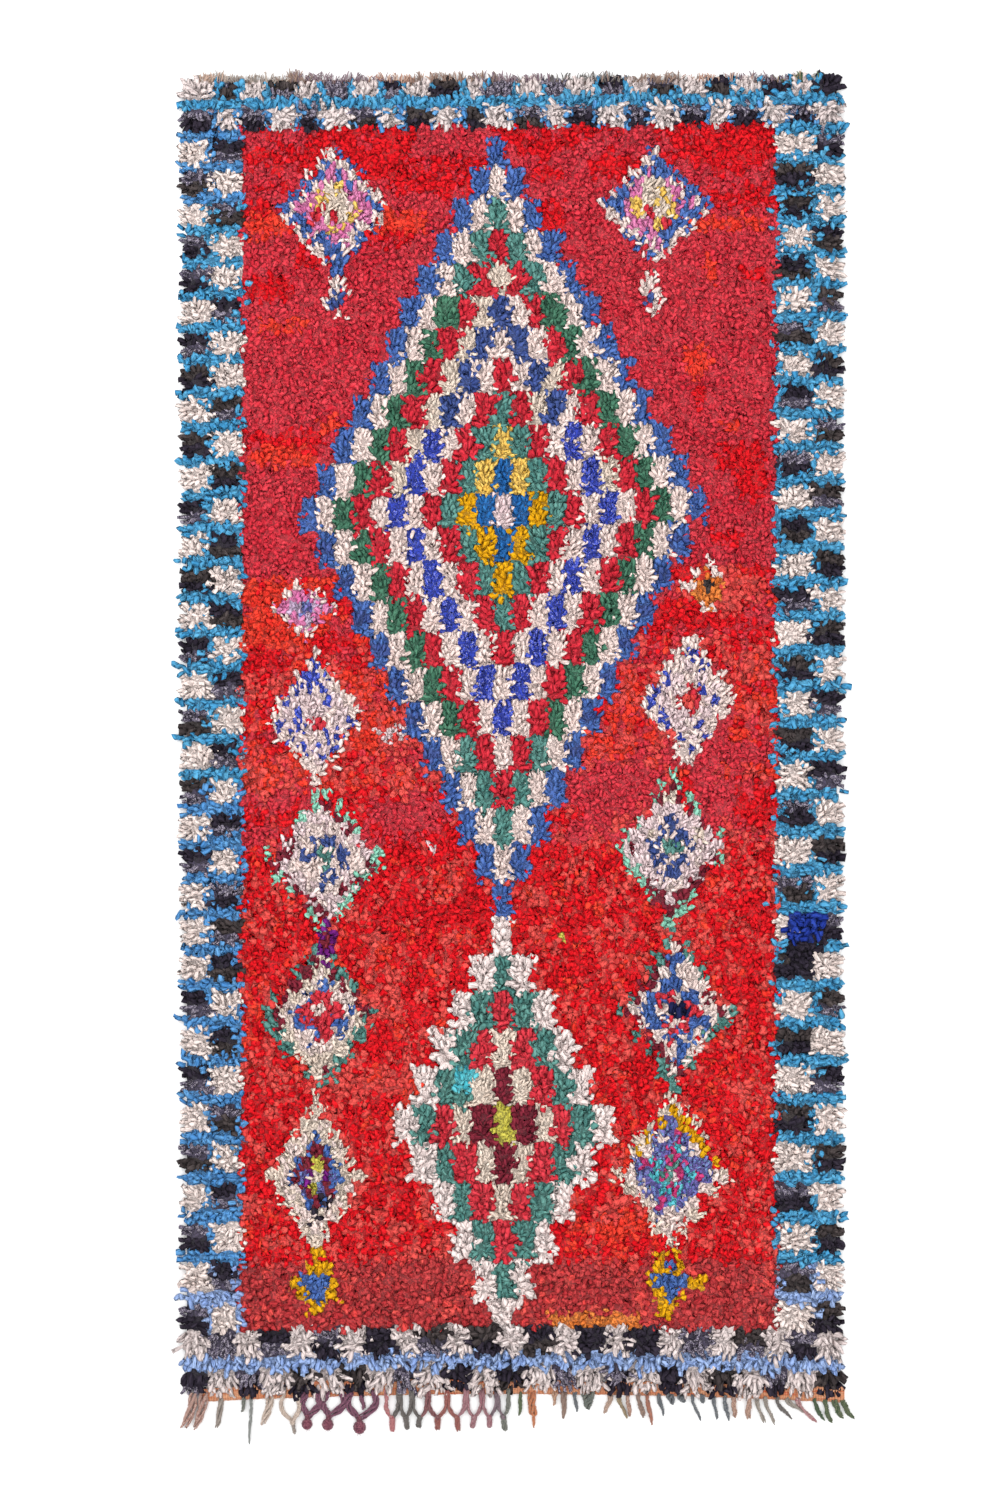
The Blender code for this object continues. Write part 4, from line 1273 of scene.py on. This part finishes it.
root = HEAD_LEFT + (HEAD_RIGHT - HEAD_LEFT) * np.sort(random.random(HEAD_ENDS)) ** 1.25
cluster = ragged(root, 0.011, 12)
reach = 0.012 + 0.014 * cluster * random.uniform(0.6, 1.2, HEAD_ENDS)
lean = random.normal(0, 0.28, HEAD_ENDS) + 0.9 * (ragged(root, 0.04, 13) - 0.5)
curl = random.normal(0, 0.3, HEAD_ENDS)
s = np.linspace(0, 1, HEAD_END_RINGS)[None]
turn = lean[:, None] + curl[:, None] * s
start = HEAD_END_ROOT + HEAD_END_UNEVEN * random.random((HEAD_ENDS, 1))
arch = random.uniform(0, 0.007, (HEAD_ENDS, 1)) * np.sin(s * 2.4)
line = np.stack([
    root[:, None] + reach[:, None] * s * np.sin(turn),
    start + reach[:, None] * s * np.cos(turn),
    0.0024 + arch], axis=2)
line[..., 1] = line[..., 1].clip(None, HEAD_END_LIMIT)
radius = HEAD_END_RADIUS * random.uniform(0.7, 1.4, (HEAD_ENDS, 1)) * (1 - 0.45 * s**3)
ends = tubes(line, radius, HEAD_END_SIDES)
ends[..., 2] = ends[..., 2].clip(YARN_LOWEST, None)
faces = strip_faces(HEAD_ENDS, HEAD_END_RINGS, HEAD_END_SIDES)
head_ends = mesh_object("head_warp_ends", ends.reshape(-1, 3), faces)
starts = np.array([place for place, _ in HEAD_DYES]) * MM
which = np.searchsorted(starts, root + random.normal(0, 0.02, HEAD_ENDS)).clip(1, None) - 1
pairs = np.array([[paint(*dye) for dye in YARN_DYES[name]] for _, name in HEAD_DYES])[which]
mix = random.random((HEAD_ENDS, 1))
dyes = pairs[:, 0] * (1 - mix) + pairs[:, 1] * mix
dyes = np.repeat(dyes, HEAD_END_RINGS * HEAD_END_SIDES, axis=0)
add_values(head_ends, "dye", dyes, "FLOAT_COLOR")
material, shader, thread = cloth_material("cut warp", sheen=0.1)
bristle = thread.place().noise(700.0, 2.0)
finish_cloth(shader, thread.mesh_value("dye"), bristle, distance=0.0006, strength=0.8)
head_ends.data.materials.append(material)
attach(head_ends, "root")
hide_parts("head_band")


# Studio
# A pale floor, one broad soft light high over the head's left, a wide weaker one from the right,
# and a camera straight above, as the photograph was taken.

PIXEL = 0.00188
RUG_MIDDLE_IN_PHOTO = (513.5, 757.5)
PHOTO_SIZE = (1001, 1500)
CAMERA_HEIGHT = 6.0
PILE_MIDDLE = 0.018
FLOOR_SIZE = 30.0

floor = mesh_object(
    "floor",
    np.array([[-1, -1, 0], [1, -1, 0], [1, 1, 0], [-1, 1, 0]]) * FLOOR_SIZE / 2,
    [np.array([[0, 1, 2, 3]])], smooth=False)
floor_material = bpy.data.materials.new("pale floor")
floor_material.use_nodes = True
floor_shader = floor_material.node_tree.nodes["Principled BSDF"]
floor_shader.inputs["Base Color"].default_value = (0.93, 0.93, 0.93, 1.0)
floor_shader.inputs["Roughness"].default_value = 0.9
floor_shader.inputs["Specular IOR Level"].default_value = 0.1
floor.data.materials.append(floor_material)

camera_data = bpy.data.cameras.new("camera")
camera_data.sensor_width = 36.0
camera_data.lens = 36.0 * (CAMERA_HEIGHT - PILE_MIDDLE) / (PHOTO_SIZE[1] * PIXEL)
camera = bpy.data.objects.new("camera", camera_data)
camera.location = (
    (PHOTO_SIZE[0] / 2 - RUG_MIDDLE_IN_PHOTO[0]) * PIXEL,
    (RUG_MIDDLE_IN_PHOTO[1] - PHOTO_SIZE[1] / 2) * PIXEL,
    CAMERA_HEIGHT)
bpy.context.scene.collection.objects.link(camera)
bpy.context.scene.camera = camera

# Name, place, size and power of each soft light
for name, place, size, power in (
    ("key light", (-2.4, 2.6, 3.6), 2.2, 90.0),
    ("fill light", (2.8, -1.6, 3.8), 3.0, 44.0),
):
    light_data = bpy.data.lights.new(name, "AREA")
    light_data.size = size
    light_data.energy = power
    light = bpy.data.objects.new(name, light_data)
    light.location = place
    light.rotation_mode = "QUATERNION"
    light.rotation_quaternion = light.location.to_track_quat("Z", "Y")
    bpy.context.scene.collection.objects.link(light)
world = bpy.data.worlds.new("studio air")
bpy.context.scene.world = world
world.use_nodes = True
world.node_tree.nodes["Background"].inputs["Color"].default_value = (1.0, 1.0, 1.0, 1.0)
world.node_tree.nodes["Background"].inputs["Strength"].default_value = 1.27
bpy.context.scene.view_settings.view_transform = "Standard"
